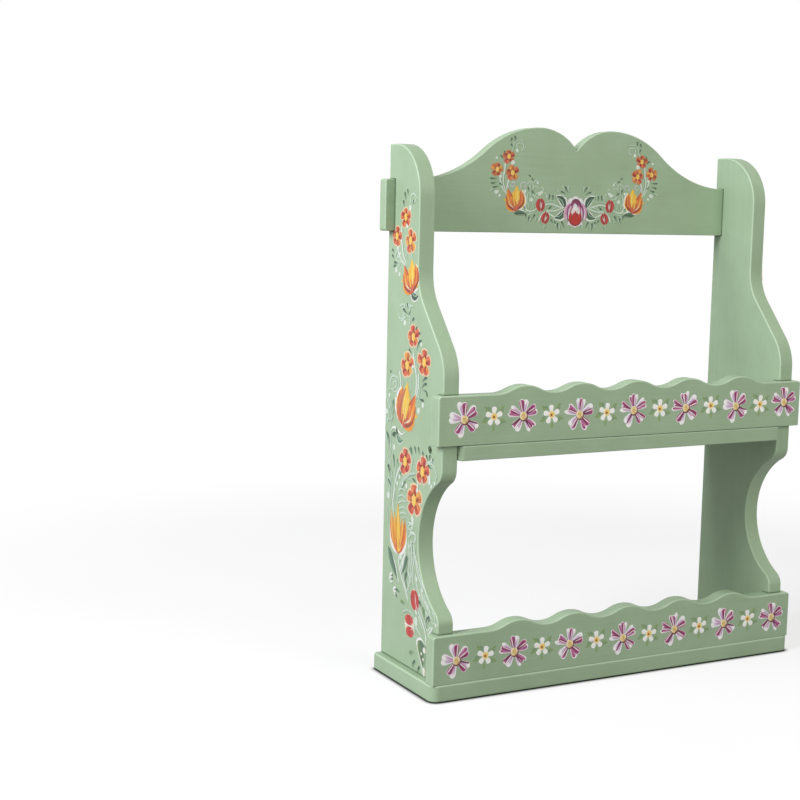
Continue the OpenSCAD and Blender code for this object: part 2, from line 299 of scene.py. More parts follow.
# For each board: the axis that it was brushed along, the round of its free edges,
# and the round of an edge that lies in a joint as a share of a free one's.
BOARDS = dict(base_board=(0, 1.7, 0.8), left_side=(2, 1.2, 0.5), right_side=(2, 1.2, 0.5),
              middle_shelf=(0, 1.5, 0.8), middle_rail=(0, 1.3, 0.8), lower_rail=(0, 1.3, 0.12),
              crest_board=(0, 1.1, 0.8))
SHARP_ANGLE = math.radians(36)  # an edge that turns by more than this is a corner
FLAT_ANGLE = math.radians(0.6)  # faces that turn by less than this are one
WELD_REACH = 0.01       # within which imported corners are joined
EASING_STEPS = 4
RAIL_HEIGHT = 45.0      # a rail between its humps
CREST_HEIGHT = 48.0     # the crest board at its ends
TOUCH = 0.3             # how far from a neighbour an edge still counts as in its joint
PLAIN_HEIGHTS = dict(middle_rail=RAIL_HEIGHT, lower_rail=RAIL_HEIGHT, crest_board=CREST_HEIGHT)


def neighbour_box(name):
    """The middle and half size of the block that a board fills where others meet it, in metres."""
    low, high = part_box(name)
    if name in PLAIN_HEIGHTS:
        high.z = low.z + PLAIN_HEIGHTS[name] * MM
    half = (high - low) / 2 + Vector((TOUCH, TOUCH, TOUCH)) * MM
    return (low + high) / 2, half


def node_group(name):
    """A geometry node group with one geometry in and one out: its nodes, and what comes in."""
    group = bpy.data.node_groups.new(name, "GeometryNodeTree")
    for way in ("INPUT", "OUTPUT"):
        group.interface.new_socket("Geometry", in_out=way, socket_type="NodeSocketGeometry")
    nodes = Nodes(group)
    return nodes, nodes.add("NodeGroupInput").outputs[0]


def compared(nodes, operation, value, limit):
    """Whether an edge's angle is over or under a limit."""
    return nodes.add("FunctionNodeCompare", {"operation": operation}, _0=value, _1=limit).outputs[0]


def edge_angle(nodes):
    return nodes.add("GeometryNodeInputMeshEdgeAngle").outputs["Unsigned Angle"]


def switched(nodes, which, yes, no):
    """The value yes where which is true, and no elsewhere."""
    made = nodes.add("GeometryNodeSwitch", {"input_type": "FLOAT"}, Switch=which,
                     **{"False": no, "True": yes})
    return made.outputs[0]


def marks_for_easing(board, joint_share):
    """Geometry nodes that weigh each edge for the bevel: a free corner fully, one in a joint partly."""
    nodes, start = node_group("easing_of_" + board)
    corner = compared(nodes, "GREATER_THAN", edge_angle(nodes), SHARP_ANGLE)
    place = nodes.add("GeometryNodeInputPosition").outputs[0]
    hidden = None
    for other in BOARDS:
        if other == board:
            continue
        middle, half = neighbour_box(other)
        away = nodes.add("VectorMath", {"operation": "SUBTRACT"}, _0=place, _1=middle).outputs[0]
        size = nodes.add("VectorMath", {"operation": "ABSOLUTE"}, _0=away).outputs[0]
        within = {"data_type": "VECTOR", "mode": "ELEMENT", "operation": "LESS_THAN"}
        inside = nodes.add("FunctionNodeCompare", within, _4=size, _5=half).outputs[0]
        if hidden is not None:
            either = nodes.add("FunctionNodeBooleanMath", {"operation": "OR"}, _0=hidden, _1=inside)
            inside = either.outputs[0]
        hidden = inside
    weight = switched(nodes, corner, switched(nodes, hidden, joint_share, 1.0), 0.0)
    store = nodes.add("GeometryNodeStoreNamedAttribute", {"data_type": "FLOAT", "domain": "EDGE"},
                      Name="bevel_weight_edge", Geometry=start, Value=weight)
    nodes.add("NodeGroupOutput", _0=store.outputs[0])
    return nodes.tree


def smooth_by_angle():
    """Geometry nodes that shade a mesh smooth, except over sharp edges."""
    nodes, start = node_group("smooth_by_angle")
    gentle = compared(nodes, "LESS_THAN", edge_angle(nodes), SHARP_ANGLE)
    faces = nodes.add("GeometryNodeSetShadeSmooth", {"domain": "FACE"}, Geometry=start)
    edges = nodes.add("GeometryNodeSetShadeSmooth", {"domain": "EDGE"}, Geometry=faces.outputs[0],
                      Shade_Smooth=gentle)
    nodes.add("NodeGroupOutput", _0=edges.outputs[0])
    return nodes.tree


smoothing = smooth_by_angle()


def add_modifier(piece, name, kind, **settings):
    """A modifier of this kind on a piece, with these settings."""
    made = piece.modifiers.new(name, kind)
    for setting, value in settings.items():
        setattr(made, setting, value)


def ease_edges(board, radius, joint_share):
    """Joins the imported facets, rounds the free edges, and shades the rounds smooth."""
    marks = marks_for_easing(board.name, joint_share)
    add_modifier(board, "weld", "WELD", merge_threshold=WELD_REACH * MM)
    add_modifier(board, "flat_faces", "DECIMATE", decimate_type="DISSOLVE", angle_limit=FLAT_ANGLE)
    add_modifier(board, "easing_weights", "NODES", node_group=marks)
    # The rounds take the second material, the paler sage of a painted highlight
    add_modifier(board, "eased_edges", "BEVEL", width=radius * MM, segments=EASING_STEPS,
                 limit_method="WEIGHT", material=1, use_clamp_overlap=False, loop_slide=False)
    add_modifier(board, "shading", "NODES", node_group=smoothing)
    add_modifier(board, "flat_shading", "WEIGHTED_NORMAL", keep_sharp=True)


def finish_with(name, *materials):
    """The CAD node of this name, with these materials in place of its own."""
    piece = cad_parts[name]
    piece.data.materials.clear()
    for material in materials:
        piece.data.materials.append(material)
    return piece


for name, (axis, radius, joint_share) in BOARDS.items():
    ease_edges(finish_with(name, paint_along[axis], edge_highlight_along[axis]), radius, joint_share)

for name, finish in dict(shelf_dowels=beech, middle_rail_dowels=beech, lower_rail_dowels=beech,
                         shelf_screws=shaded_screw_paint, base_screws=brass, crest_screws=brass,
                         left_hanger_plate=zinc, right_hanger_plate=zinc, hanger_screws=zinc).items():
    finish_with(name, finish)


# Screw heads: a cross for the driver is cut into each

CROSS_WIDTH = 0.95      # width of one bar of a cross
CROSS_DEPTH = 1.2       # how far it goes into the head
CROSS_REACH = 4.2       # length of a bar
SMALL_CROSS_REACH = 3.4
SIDE_MIDDLE = 192       # from the rack's middle to that of a side board's thickness
HANGER_MIDDLE = 150     # from the rack's middle to that of a keyhole plate
# For each kind of screw: the middles of its heads, the axis that they face along, and the length of a bar.
HEADS = dict(shelf_screws=([(x, -30, 226) for x in (199, -199)], 0, CROSS_REACH),
             base_screws=([(x, y, 1) for x in (-SIDE_MIDDLE, SIDE_MIDDLE) for y in (34, -16)],
                          2, CROSS_REACH),
             crest_screws=([(x, 58, z) for x in (-SIDE_MIDDLE, SIDE_MIDDLE) for z in (432, 456)],
                           1, CROSS_REACH),
             hanger_screws=([(x, 59, z) for x in (-HANGER_MIDDLE, HANGER_MIDDLE) for z in (429, 461)],
                            1, SMALL_CROSS_REACH))


def cut_crosses(name, middles, axis, reach):
    """Takes a cross out of each head, with geometry nodes, and gives it the near-black painted shade of a
    recess.
    """
    nodes, start = node_group("driver_cross_of_" + name)
    cut = nodes.add("GeometryNodeMeshBoolean", {"operation": "DIFFERENCE", "solver": "EXACT"}, Mesh_1=start)
    for middle in middles:
        for long_side in range(3):
            if long_side == axis:
                continue
            size = [CROSS_WIDTH] * 3
            size[axis], size[long_side] = 2 * CROSS_DEPTH, reach
            bar = nodes.add("GeometryNodeMeshCube", Size=Vector(size) * MM).outputs["Mesh"]
            dark = nodes.add("GeometryNodeSetMaterial", Geometry=bar, Material=recess_shade).outputs[0]
            placed = nodes.add("GeometryNodeTransform", Geometry=dark, Translation=Vector(middle) * MM)
            nodes.tree.links.new(placed.outputs[0], cut.inputs["Mesh 2"])
    nodes.add("NodeGroupOutput", _0=cut.outputs[0])
    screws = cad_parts[name]
    add_modifier(screws, "weld", "WELD", merge_threshold=WELD_REACH * MM)
    add_modifier(screws, "driver_cross", "NODES", node_group=nodes.tree)


for name, (middles, axis, reach) in HEADS.items():
    cut_crosses(name, middles, axis, reach)


# Brush strokes: thin closed ribbons of paint that stand a little proud of a board

CREAM = (247, 238, 214)
WHITE = (252, 253, 248)
PETAL_WHITE = (240, 234, 242)
MINT = (206, 228, 208)
SEA = (172, 202, 178)
DEEP_GREEN = (46, 82, 62)
LEAF_GREEN = (88, 124, 84)
OLIVE = (126, 152, 78)
YELLOW = (252, 208, 72)
AMBER = (246, 172, 56)
ORANGE = (232, 116, 48)
RUST = (196, 88, 66)
CORAL = (220, 98, 74)
RED = (196, 34, 26)
CRIMSON = (188, 44, 50)
DARK_RED = (132, 32, 26)
PINK = (244, 204, 218)
ROSE_PINK = (176, 86, 134)
MAUVE = (200, 132, 178)
LILAC = (186, 150, 196)
MAGENTA = (152, 52, 106)
BURGUNDY = (88, 24, 52)
LAVENDER = (232, 222, 236)
TAN = (236, 206, 132)
BROWN = (112, 66, 30)
RUSTY_EDGE = (206, 132, 84)
# Mixes for petals, from one side of the petal to the other
EMBER = ((148, 50, 30), (186, 76, 40), (210, 110, 58))
FIRE = ((204, 72, 46), (220, 104, 62), (234, 140, 78))
FLAME = ((184, 58, 50), (212, 84, 64), (226, 116, 82))
GOLD = ((206, 104, 48), (228, 146, 60), (238, 176, 78))

LAYER = 0.035           # rise of one layer of paint over the last
STAGGER = 0.0004        # rise of one stroke over the last in a layer, over STAGGERED strokes
STAGGERED = 40
CROWN = 0.05            # rise of a stroke's middle over its edges
FULL_CROWN = 0.6        # half width from which a stroke has that rise
SUNK = 0.06             # how far a stroke's underside lies below the board's surface
THINNEST = 0.05         # half width of a stroke's ends, as a share of the widest
COMMA_HEAD = 0.26       # the share of a comma-shaped stroke that its round head takes
ACROSS = (-1.0, -0.5, 0.0, 0.5, 1.0)
BRISTLES_APART = 7.3    # so that each stroke shows other bristle marks
# Each pale line gets a darker green stroke beside it, a painted shadow
PAINTED_LINE_SHADOW = (96, 128, 92)   # the darker green beside a pale line
PAINTED_LINE_SHADOW_ASIDE = 0.55      # its place to the side and below, in widths of the line
PAINTED_LINE_SHADOW_BELOW = 0.3


def petal(share):
    """Half width along a stroke that starts narrow and ends wide and round."""
    return (0.3 + 0.85 * share ** 0.8) * math.sqrt(max(0.0, 1 - max(0.0, (share - 0.72) / 0.28) ** 2))


def leaf(share):
    """Half width along a stroke that is pointed at both ends."""
    return math.sin(math.pi * share ** 0.85) ** 0.9


def comma(share):
    """Half width along a stroke that starts with a round head and runs out in a tail."""
    if share < COMMA_HEAD:
        return math.sqrt(max(0.0, 1 - (1 - share / COMMA_HEAD) ** 2))
    return (1 - (share - COMMA_HEAD) / (1 - COMMA_HEAD)) ** 0.85


def line(share):
    """Half width along a line with short rounded ends, a little thinner towards its end."""
    return min(1.0, math.sqrt(share / 0.06), math.sqrt((1 - share) / 0.1)) * (1 - 0.3 * share)


def blob(share):
    """Half width along an oval."""
    return math.sqrt(max(0.0, 1 - (2 * share - 1) ** 2))


def spline_point(points, share):
    """The place and direction at a share of a smooth curve through the points, a Catmull-Rom spline."""
    spans = len(points) - 1
    i = min(int(share * spans), spans - 1)
    t = share * spans - i
    start, end = points[i], points[i + 1]
    before = points[i - 1] if i else (2 * start[0] - end[0], 2 * start[1] - end[1])
    after = points[i + 2] if i + 2 <= spans else (2 * end[0] - start[0], 2 * end[1] - start[1])
    place, slope = [], []
    for p, q, r, u in zip(before, start, end, after):
        bend, twist = 2 * p - 5 * q + 4 * r - u, 3 * (q - r) + u - p
        place.append(q + 0.5 * t * (r - p + t * (bend + t * twist)))
        slope.append(0.5 * (r - p + 2 * t * bend + 3 * t * t * twist))
    size = math.hypot(*slope) or 1.0
    return place, (slope[0] / size, slope[1] / size)


def pairs(numbers):
    """The points whose coordinates these numbers are, in a row."""
    return list(zip(numbers[::2], numbers[1::2]))


def colour_across(colours, across):
    """The colour at a place across a stroke, from -1 to 1, of colours laid side by side and blended."""
    x = (across + 1) / 2 * (len(colours) - 1)
    i = min(int(x), len(colours) - 2)
    return blend(colours[i], colours[i + 1], x - i)


class Brush:
    """Paints strokes in flat millimetres. tone is the share of their brightness that its colours keep.

    A moved brush paints in the same picture at another place, turn and size.
    """

    def __init__(self, tone=1.0):
        self.tone = tone
        self.verts, self.faces, self.colours, self.uvs = [], [], [], []
        self.count = [0]        # strokes so far, in a list so that moved brushes share it
        self.right, self.up, self.middle = (1.0, 0.0), (0.0, 1.0), (0.0, 0.0)
        self.size = 1.0

    def moved(self, x=0.0, y=0.0, turn=0.0, size=1.0, wide=1.0, flip=False):
        """A brush at (x, y), turned by degrees, scaled, made wider across, or mirrored across x = 0."""
        other = copy.copy(self)
        cosine, sine = math.cos(math.radians(turn)) * size, math.sin(math.radians(turn)) * size
        across = -wide if flip else wide
        other.right = self.step(cosine * across, sine * across)
        other.up = self.step(-sine, cosine)
        other.middle = self.out(x, y)
        other.size = self.size * size
        return other

    def step(self, x, y):
        """This brush's step of (x, y), as it goes in the picture."""
        return self.right[0] * x + self.up[0] * y, self.right[1] * x + self.up[1] * y

    def out(self, x, y):
        """Where this brush's (x, y) lies in the picture."""
        over, up = self.step(x, y)
        return over + self.middle[0], up + self.middle[1]

    def stroke(self, points, width, shape, colours, layer=1, cover=(1.0, 1.0), tip=None, rows=9):
        """One stroke along the points. Its colours lie side by side across it, and may run into a tip."""
        if isinstance(colours[0], (int, float)):
            colours = (colours, colours)
        self.count[0] += 1
        number = self.count[0]
        first = len(self.verts)
        rise = layer * LAYER + number % STAGGERED * STAGGER
        length = sum(math.dist(p, q) for p, q in zip(points, points[1:]))
        for i in range(rows):
            share = 0.5 - 0.5 * math.cos(math.pi * i / (rows - 1))
            (px, py), (dx, dy) = spline_point(points, share)
            half = max(shape(share), THINNEST) * width / 2
            lie = min(1.0, half * self.size / FULL_CROWN)
            # The last two points of a row lie under the board's surface, in the colour of the edge
            for k, across in enumerate((*ACROSS, -1.0, 1.0)):
                height = -SUNK
                if k < len(ACROSS):
                    height = rise + CROWN * lie * (1 - across * across)
                    colour = colour_across(colours, across)
                    if tip:
                        colour = blend(colour, tip, share * share)
                    thick = cover[0] + (cover[1] - cover[0]) * share
                    shown = (*(channel * self.tone for channel in linear(colour)), thick)
                self.verts.append((*self.out(px - dy * half * across, py + dx * half * across), height))
                self.colours.append(shown)
                self.uvs.append((share * length + number * BRISTLES_APART, half * across))
        self.close(first, rows)

    def close(self, first, rows):
        """The faces of a stroke whose rows of points start at first: top, sides, underside and ends."""
        columns = len(ACROSS)
        step = columns + 2
        left, right = columns, columns + 1
        for i in range(rows - 1):
            here, there = first + i * step, first + (i + 1) * step
            for k in range(columns - 1):
                self.faces.append((here + k, here + k + 1, there + k + 1, there + k))
            self.faces.append((here + left, here, there, there + left))
            self.faces.append((here + columns - 1, here + right, there + right, there + columns - 1))
            self.faces.append((here + right, here + left, there + left, there + right))
        for row, order in ((first, 1), (first + (rows - 1) * step, -1)):
            ring = [row + k for k in range(columns)] + [row + right, row + left]
            self.faces.append(tuple(ring[::-order]))

    def dot(self, x, y, radius, colours, layer=1, cover=1.0, tall=1.0):
        """A round or oval spot."""
        self.stroke([(x, y - radius * tall), (x, y + radius * tall)], 2 * radius, blob, colours, layer,
                    (cover, cover), rows=8)

    def marks(self, shape, *strokes):
        """Strokes of one shape. Each gives its width, colours, layer, rows, tip, and its points in a row."""
        for width, colours, layer, rows, tip, *numbers in strokes:
            self.stroke(pairs(numbers), width, shape, colours, layer, tip=tip, rows=rows)

    def lines(self, width, shape, colours, layer, cover, *strokes):
        """Strokes of one kind, each with a faint painted shadow beside it. Each is given by its points in a
        row.
        """
        for numbers in strokes:
            points = pairs(numbers)
            rows = max(8, 3 * len(points))
            # The painted shadow of the line, to its side and below
            beside = [(x + PAINTED_LINE_SHADOW_ASIDE * width, y - PAINTED_LINE_SHADOW_BELOW * width) for x, y in points]
            self.stroke(beside, width, shape, PAINTED_LINE_SHADOW, 0, (0.6, 0.35), rows=rows)
            self.stroke(points, width, shape, colours, layer, cover, rows=rows)

    def spots(self, colours, layer, cover, *spots):
        """Round spots, each given by its place and radius."""
        for x, y, radius in spots:
            self.dot(x, y, radius, colours, layer, cover)

    def ray(self, x, y, angle, start, end, width, shape, colours, layer=1, **more):
        """A straight stroke that points away from (x, y)."""
        dx, dy = math.cos(math.radians(angle)), math.sin(math.radians(angle))
        points = [(x + dx * start, y + dy * start), (x + dx * end, y + dy * end)]
        self.stroke(points, width, shape, colours, layer, **more)

    def picture(self, name, board, place):
        """The painted piece on a board. place turns flat millimetres into a point of the board's face."""
        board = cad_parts[board]
        surface = BVHTree.FromObject(board, bpy.context.evaluated_depsgraph_get())
        to_frame = board.matrix_world
        to_board, turn = to_frame.inverted(), to_frame.to_3x3()
        verts = []
        for x, y, rise in self.verts:
            near, normal = surface.find_nearest(to_board @ (Vector(place(x, y)) * MM))[:2]
            verts.append(to_frame @ near + (turn @ normal).normalized() * rise * MM)
        mesh = bpy.data.meshes.new(name)
        mesh.from_pydata(verts, [], self.faces)
        paint = mesh.color_attributes.new("paint", "FLOAT_COLOR", "POINT")
        paint.data.foreach_set("color", [c for colour in self.colours for c in colour])
        uv = mesh.uv_layers.new(name="brush")
        uv.data.foreach_set("uv", [c for loop in mesh.loops for c in self.uvs[loop.vertex_index]])
        made = bmesh.new()
        made.from_mesh(mesh)
        bmesh.ops.recalc_face_normals(made, faces=made.faces)
        made.to_mesh(mesh)
        made.free()
        mesh.materials.append(flowers)
        piece = place_in_scene(name, mesh)
        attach(piece, "root")


# Flowers and leaves, each drawn round (0, 0) in millimetres

# The mixes of stripes on a daisy's petals. Each stripe has its place aside and its width as shares
# of the petal's, its colours from the heart to the tip, and how much shorter than the petal it is.
STRIPES = dict(w=((-0.16, 0.32, MAUVE, LAVENDER, 3.0), (0.16, 0.22, LILAC, LAVENDER, 4.0)),
               p=((-0.1, 0.6, MAUVE, MAGENTA, 1.2), (0.22, 0.24, MAGENTA, PINK, 2.6)),
               v=((-0.06, 0.72, MAGENTA, MAUVE, 0.8), (0.2, 0.24, BURGUNDY, MAGENTA, 2.0),
                  (-0.34, 0.16, WHITE, WHITE, 1.0)),
               m=((-0.02, 0.92, MAGENTA, ROSE_PINK, 0.6), (0.14, 0.28, BURGUNDY, MAGENTA, 1.6),
                  (-0.3, 0.18, WHITE, PINK, 1.2)))
DARK_STROKE = "b"       # the letter for a thin dark stroke between two petals
DAISY_ANGLES = (93, 30, -44, -122, 163)
PETAL_REACH = 15.2      # from the daisy's middle to the end of its shortest petals
PETAL_VARIES = 2.2      # how much longer others may be
GROUP_WIDTH = 13.4      # shared out among the petals of a group
WIDE_STEP = 20.0        # degrees from petal to petal in a group of two
STEP = 14.5             # and in a larger one


def daisy(brush, groups, turn):
    """Five groups of striped petals. A letter in a group is one petal with the stripes of that mix."""
    for k, (angle, group) in enumerate(zip(DAISY_ANGLES, groups.split())):
        count = len(group.replace(DARK_STROKE, ""))
        step = WIDE_STEP if count < 3 else STEP
        width = GROUP_WIDTH / count
        at = angle + turn + step * (count - 1) / 2
        for j, letter in enumerate(group):
            if letter == DARK_STROKE:
                brush.ray(0, 0, at + step / 2, 3.4, 14.6, 1.9, line, BURGUNDY, 6, tip=MAGENTA)
                continue
            vary = random_share(k, j, len(group), int(turn) + 50)
            side = 1 if vary > 0.3 else -1
            end = PETAL_REACH + PETAL_VARIES * vary - 0.6 * (j % 2)
            brush.ray(0, 0, at, 1.5, end, width, petal, (LAVENDER, WHITE, WHITE, PETAL_WHITE), 2 + j % 2)
            for n, (aside, share, colour, tip, short) in enumerate(STRIPES[letter]):
                brush.ray(0, 0, at + side * aside * step, 2.4, end - short, width * share, petal, colour,
                          4 + n, tip=tip)
            at -= step
    brush.dot(0.5, -0.7, 4.5, (110, 58, 50), 7)
    brush.dot(0, 0, 3.9, (CREAM, TAN, TAN, CREAM), 8)
    brush.marks(line,
        (0.9, (186, 140, 70), 9, 10, None, -1.7, -0.6, -0.4, 1.1, 1.3, 0.6, 0.6, -1.2, -0.9, -1.7),
        (0.9, (164, 108, 60), 9, 7, TAN, 0.9, -3.0, 2.7, -1.8, 3.2, 0.6))


def white_flower(brush, turn):
    """Five white petals with a yellow heart, four leaves and a stem."""
    for angle in (42, 138, -158, -24):
        brush.ray(0, 0, angle + turn, 6.0, 14.0, 3.4, leaf, (LEAF_GREEN, OLIVE, OLIVE), 1, cover=(0.5, 0.85))
        brush.ray(0, 0, angle + turn - 14, 6.0, 11.5, 2.0, leaf, LEAF_GREEN, 1, cover=(0.4, 0.7))
    brush.ray(0, 0, -92 + turn, 6.5, 13.0, 2.6, leaf, OLIVE, 1, cover=(0.6, 0.85))
    for k in range(5):
        angle = 90 + 72 * k + turn
        brush.ray(0, 0, angle, 0.6, 8.9, 5.3, petal, (WHITE, WHITE, WHITE, LAVENDER), 2 + k % 2, tip=WHITE)
        brush.ray(0, 0, angle + 6, 1.6, 6.4, 1.3, leaf, CREAM, 4, tip=WHITE)
    brush.dot(0, 0, 3.5, (CREAM, (248, 222, 150), CREAM), 5)
    brush.dot(0.1, 0, 2.6, (YELLOW, TAN, AMBER), 6)
    brush.dot(-0.2, -0.4, 1.1, BROWN, 7)


def five_petals(brush, mixes, turn=0.0, edge=(246, 216, 172)):
    """A flower of five uneven red petals over a pale edge, with an orange heart and dark red dots."""
    seed = brush.count[0]
    petals = []
    for k in range(5):
        angle = 90 + 72 * k + turn + 18 * (random_share(k, seed) - 0.5)
        petals.append((angle, 8.9 + 2.6 * random_share(seed, k + 9), mixes[k % len(mixes)]))
    for angle, reach, mix in petals:
        brush.ray(0, 0, angle, 0.2, reach + 1.3, 10.8, petal, edge, 1, cover=(0.95, 0.85))
    for k, (angle, reach, mix) in enumerate(petals):
        light, dark = blend(mix[-1], AMBER, 0.3), blend(mix[0], DARK_RED, 0.6)
        brush.ray(0, 0, angle, 0.2, reach, 8.6, petal, mix, 2 + k % 3)
        brush.ray(0, 0, angle + 12, 3.0, reach - 0.6, 2.0, leaf, light, 5, tip=mix[-1])
        brush.ray(0, 0, angle - 12, 1.8, reach - 1.0, 1.8, leaf, dark, 5, tip=mix[0])
        brush.ray(0, 0, angle + 1, 2.6, reach - 3.6, 1.6, leaf, dark, 6, tip=mix[1])
    brush.dot(0, 0, 3.7, (AMBER, YELLOW, (255, 222, 140), AMBER), 7, tall=1.2)
    for k in range(6):
        at = math.radians(62 + 60 * k + turn)
        brush.dot(3.9 * math.cos(at), 4.5 * math.sin(at), 0.95, (134, 44, 26), 8)


def tulip(brush):
    """A tulip 20 mm high that opens upwards from (0, -10)."""
    brush.stroke([(0.5, -10.9), (8.6, -5.0), (8.8, 3.0), (6.4, 7.6)], 5.4, leaf, WHITE, 1, (1.0, 0.9),
                 rows=11)
    brush.stroke([(-0.5, -10.9), (-7.6, -5.8), (-7.8, 0.5)], 3.2, leaf, CREAM, 1, (0.95, 0.6), rows=9)
    brush.marks(leaf, (4.0, (AMBER, YELLOW), 2, 9, None, -1.0, -4.0, -6.0, -1.0, -11.4, 0.6),
        (15.0, (AMBER, AMBER, YELLOW, YELLOW, AMBER), 2, 10, None, 0.4, -9.6, 0.4, -2.0, 0.6, 7.4),
        (7.0, ((180, 76, 48), ORANGE, AMBER), 3, 10, None, -1.0, -8.0, -4.2, 0.0, -6.4, 9.6),
        (8.2, (YELLOW, YELLOW, YELLOW, AMBER), 4, 10, None, 0.6, -8.0, 2.4, 1.0, 2.6, 11.4),
        (6.4, (YELLOW, AMBER, ORANGE, (186, 80, 46)), 5, 11, None, 1.0, -8.6, 7.2, -3.0, 6.8, 7.8),
        (6.0, ((186, 86, 52), ORANGE, AMBER), 6, 10, AMBER, 0.0, -10.4, -6.4, -5.4, -6.2, 3.4),
        (7.8, (ORANGE, (188, 78, 62), RUST, ORANGE), 7, 10, AMBER, 0.2, -10.8, -1.2, -5.4, -3.4, 2.6),
        (5.4, (RUST, CORAL, ORANGE), 7, 10, AMBER, 0.4, -10.4, 2.6, -5.8, 3.4, -0.6))
    brush.marks(line, (2.0, (140, 50, 34), 8, 9, ORANGE, 2.0, -9.2, 8.2, -4.0, 8.4, 4.8),
        (1.2, (204, 98, 44), 8, 9, AMBER, 1.6, -7.4, 5.0, -1.2, 4.8, 5.6),
        (1.8, (150, 58, 40), 8, 9, ORANGE, -1.6, -9.4, -7.4, -4.4, -8.0, 4.0),
        (1.0, CREAM, 8, 9, AMBER, -0.6, -8.2, -5.2, -4.0, -5.8, 1.6),
        (1.4, (190, 78, 62), 8, 9, ORANGE, -1.4, -9.0, -2.6, -4.4, -3.4, 0.0),
        (1.4, YELLOW, 8, 9, None, -0.4, -6.4, -1.0, -0.4, -1.4, 6.0),
        (1.4, (255, 226, 120), 8, 8, None, 2.0, -5.0, 3.0, 1.0, 2.8, 6.0))


def tall_tulip(brush):
    """An upright tulip 47 mm high and 36 mm wide, seen from the side."""
    for side in (-1, 1):
        brush.stroke([(side * 2.0, -23.4), (side * 14.6, -15.0), (side * 18.8, 2.0)], 4.4, leaf, WHITE, 1,
                     (0.95, 0.8), rows=12)
    brush.marks(leaf, (8.4, (AMBER, (240, 176, 96), ORANGE), 2, 12, None, -1, -20, -13.5, -5, -15.5, 18),
        (8.8, (AMBER, ORANGE, (196, 92, 52)), 3, 12, None, 1, -20, 13.0, -6, 14.8, 13),
        (8.4, (YELLOW, AMBER, AMBER), 4, 12, None, 0, -20, -7.0, -4, -8.4, 16),
        (8.4, (YELLOW, AMBER, ORANGE), 5, 12, None, 0, -20, 7.4, -5, 8.6, 13),
        (10.0, (AMBER, YELLOW, YELLOW, AMBER), 6, 13, None, 0, -21, 0.6, -2, -1.6, 26),
        (5.4, (CORAL, ORANGE, AMBER), 7, 11, AMBER, 0, -22, -8.5, -13, -12.0, 2),
        (5.4, (ORANGE, (206, 92, 60), CORAL), 7, 11, ORANGE, 0, -22, 8.6, -14, 12.4, 0),
        (4.6, (CORAL, ORANGE), 8, 10, AMBER, -1, -22, -4.4, -15, -4.0, -6),
        (5.6, (YELLOW, (255, 222, 110), AMBER), 8, 11, YELLOW, 1, -21, 5.0, -12, 3.4, 2))
    for x, tip_y in ((-12.0, 10), (-5.4, 11), (6.6, 8), (12.6, 8)):
        brush.marks(line, (1.4, (200, 98, 50), 9, 10, AMBER, x * 0.3, -17, x * 0.8, -5, x, tip_y))
    for x, tip_y in ((-15.6, 17), (-9.6, 15), (1.6, 18), (9.4, 9)):
        brush.marks(line, (1.3, AMBER, 9, 10, (255, 232, 160), x * 0.4, -14, x * 0.85, -3, x, tip_y))


def bud(brush, turn=0.0):
    """A dark red bud 13 mm high, split by a pale line."""
    brush = brush.moved(turn=turn)
    brush.dot(0, 0, 4.9, (236, 190, 170), 1, 0.6, 1.3)
    brush.marks(blob, (4.6, (DARK_RED, CRIMSON, (196, 46, 44)), 2, 10, None, -0.6, -6.0, -2.8, 0, -0.6, 6.0),
        (4.4, (CRIMSON, (176, 44, 48), DARK_RED), 3, 10, None, 0.8, -6.0, 2.8, 0, 0.8, 6.0))
    brush.marks(leaf, (0.9, (PINK, WHITE), 4, 9, PINK, 0.6, -3.6, 1.2, 0, 2.2, 3.2),
        (0.9, CORAL, 4, 7, CRIMSON, -3.2, -2.0, -3.5, 0.6, -2.6, 3.0))


def split_bud(brush, cross=False):
    """A red bud 20 mm high in a pale edge, split down its length or across."""
    brush.dot(0, 0, 9.2, CREAM, 1, 0.75, 1.14)
    if cross:
        brush.dot(-0.4, 5.2, 7.9, (CORAL, CRIMSON, RED, CORAL), 3, 1.0, 0.62)
        brush.dot(0.4, -5.2, 7.6, (CORAL, CRIMSON, RED, CORAL), 3, 1.0, 0.66)
        brush.stroke([(-9, 0.5), (0, 0.1), (8.6, -0.4)], 1.2, line, (CREAM, WHITE), 5, (1.0, 0.9), rows=9)
        brush.stroke([(3.0, 2.6), (6.5, -0.6), (2.0, -3.4)], 0.9, line, MINT, 5, (0.8, 0.7), rows=9)
        return
    brush.marks(blob, (9.4, (CORAL, CRIMSON, RED, CRIMSON), 3, 11, None, -1.0, -9.4, -3.9, 0, -1.2, 9.4),
        (8.4, (RED, CRIMSON, CORAL), 4, 11, None, 2.6, -9.2, 4.4, 0.5, 1.4, 9.4))
    brush.stroke([(0.8, -3.6), (2.4, 1.0), (2.0, 6.4)], 1.2, leaf, (PINK, WHITE), 5, (0.9, 0.8), rows=10)
    brush.stroke([(6.4, -9.0), (3.2, -6.4), (2.4, -2.0)], 1.6, leaf, (WHITE, MINT), 5, (1.0, 0.9), rows=9)


def outlined_leaf(brush, points, width, core=DEEP_GREEN, edge=WHITE, rim=1.4):
    """A dark leaf over a pale edge, with a pale vein."""
    middle = blend(points[0], points[-1], 0.5)
    core_points = [blend(p, middle, 0.1) for p in points]
    vein = [blend(p, middle, 0.35) for p in points]
    brush.stroke(points, width + 2 * rim, leaf, edge, 1, (0.95, 0.9), rows=10)
    brush.stroke(core_points, width, leaf, (core, core, LEAF_GREEN), 3, rows=10)
    brush.stroke(vein, width * 0.14, line, MINT, 4, (0.8, 0.5), rows=8)


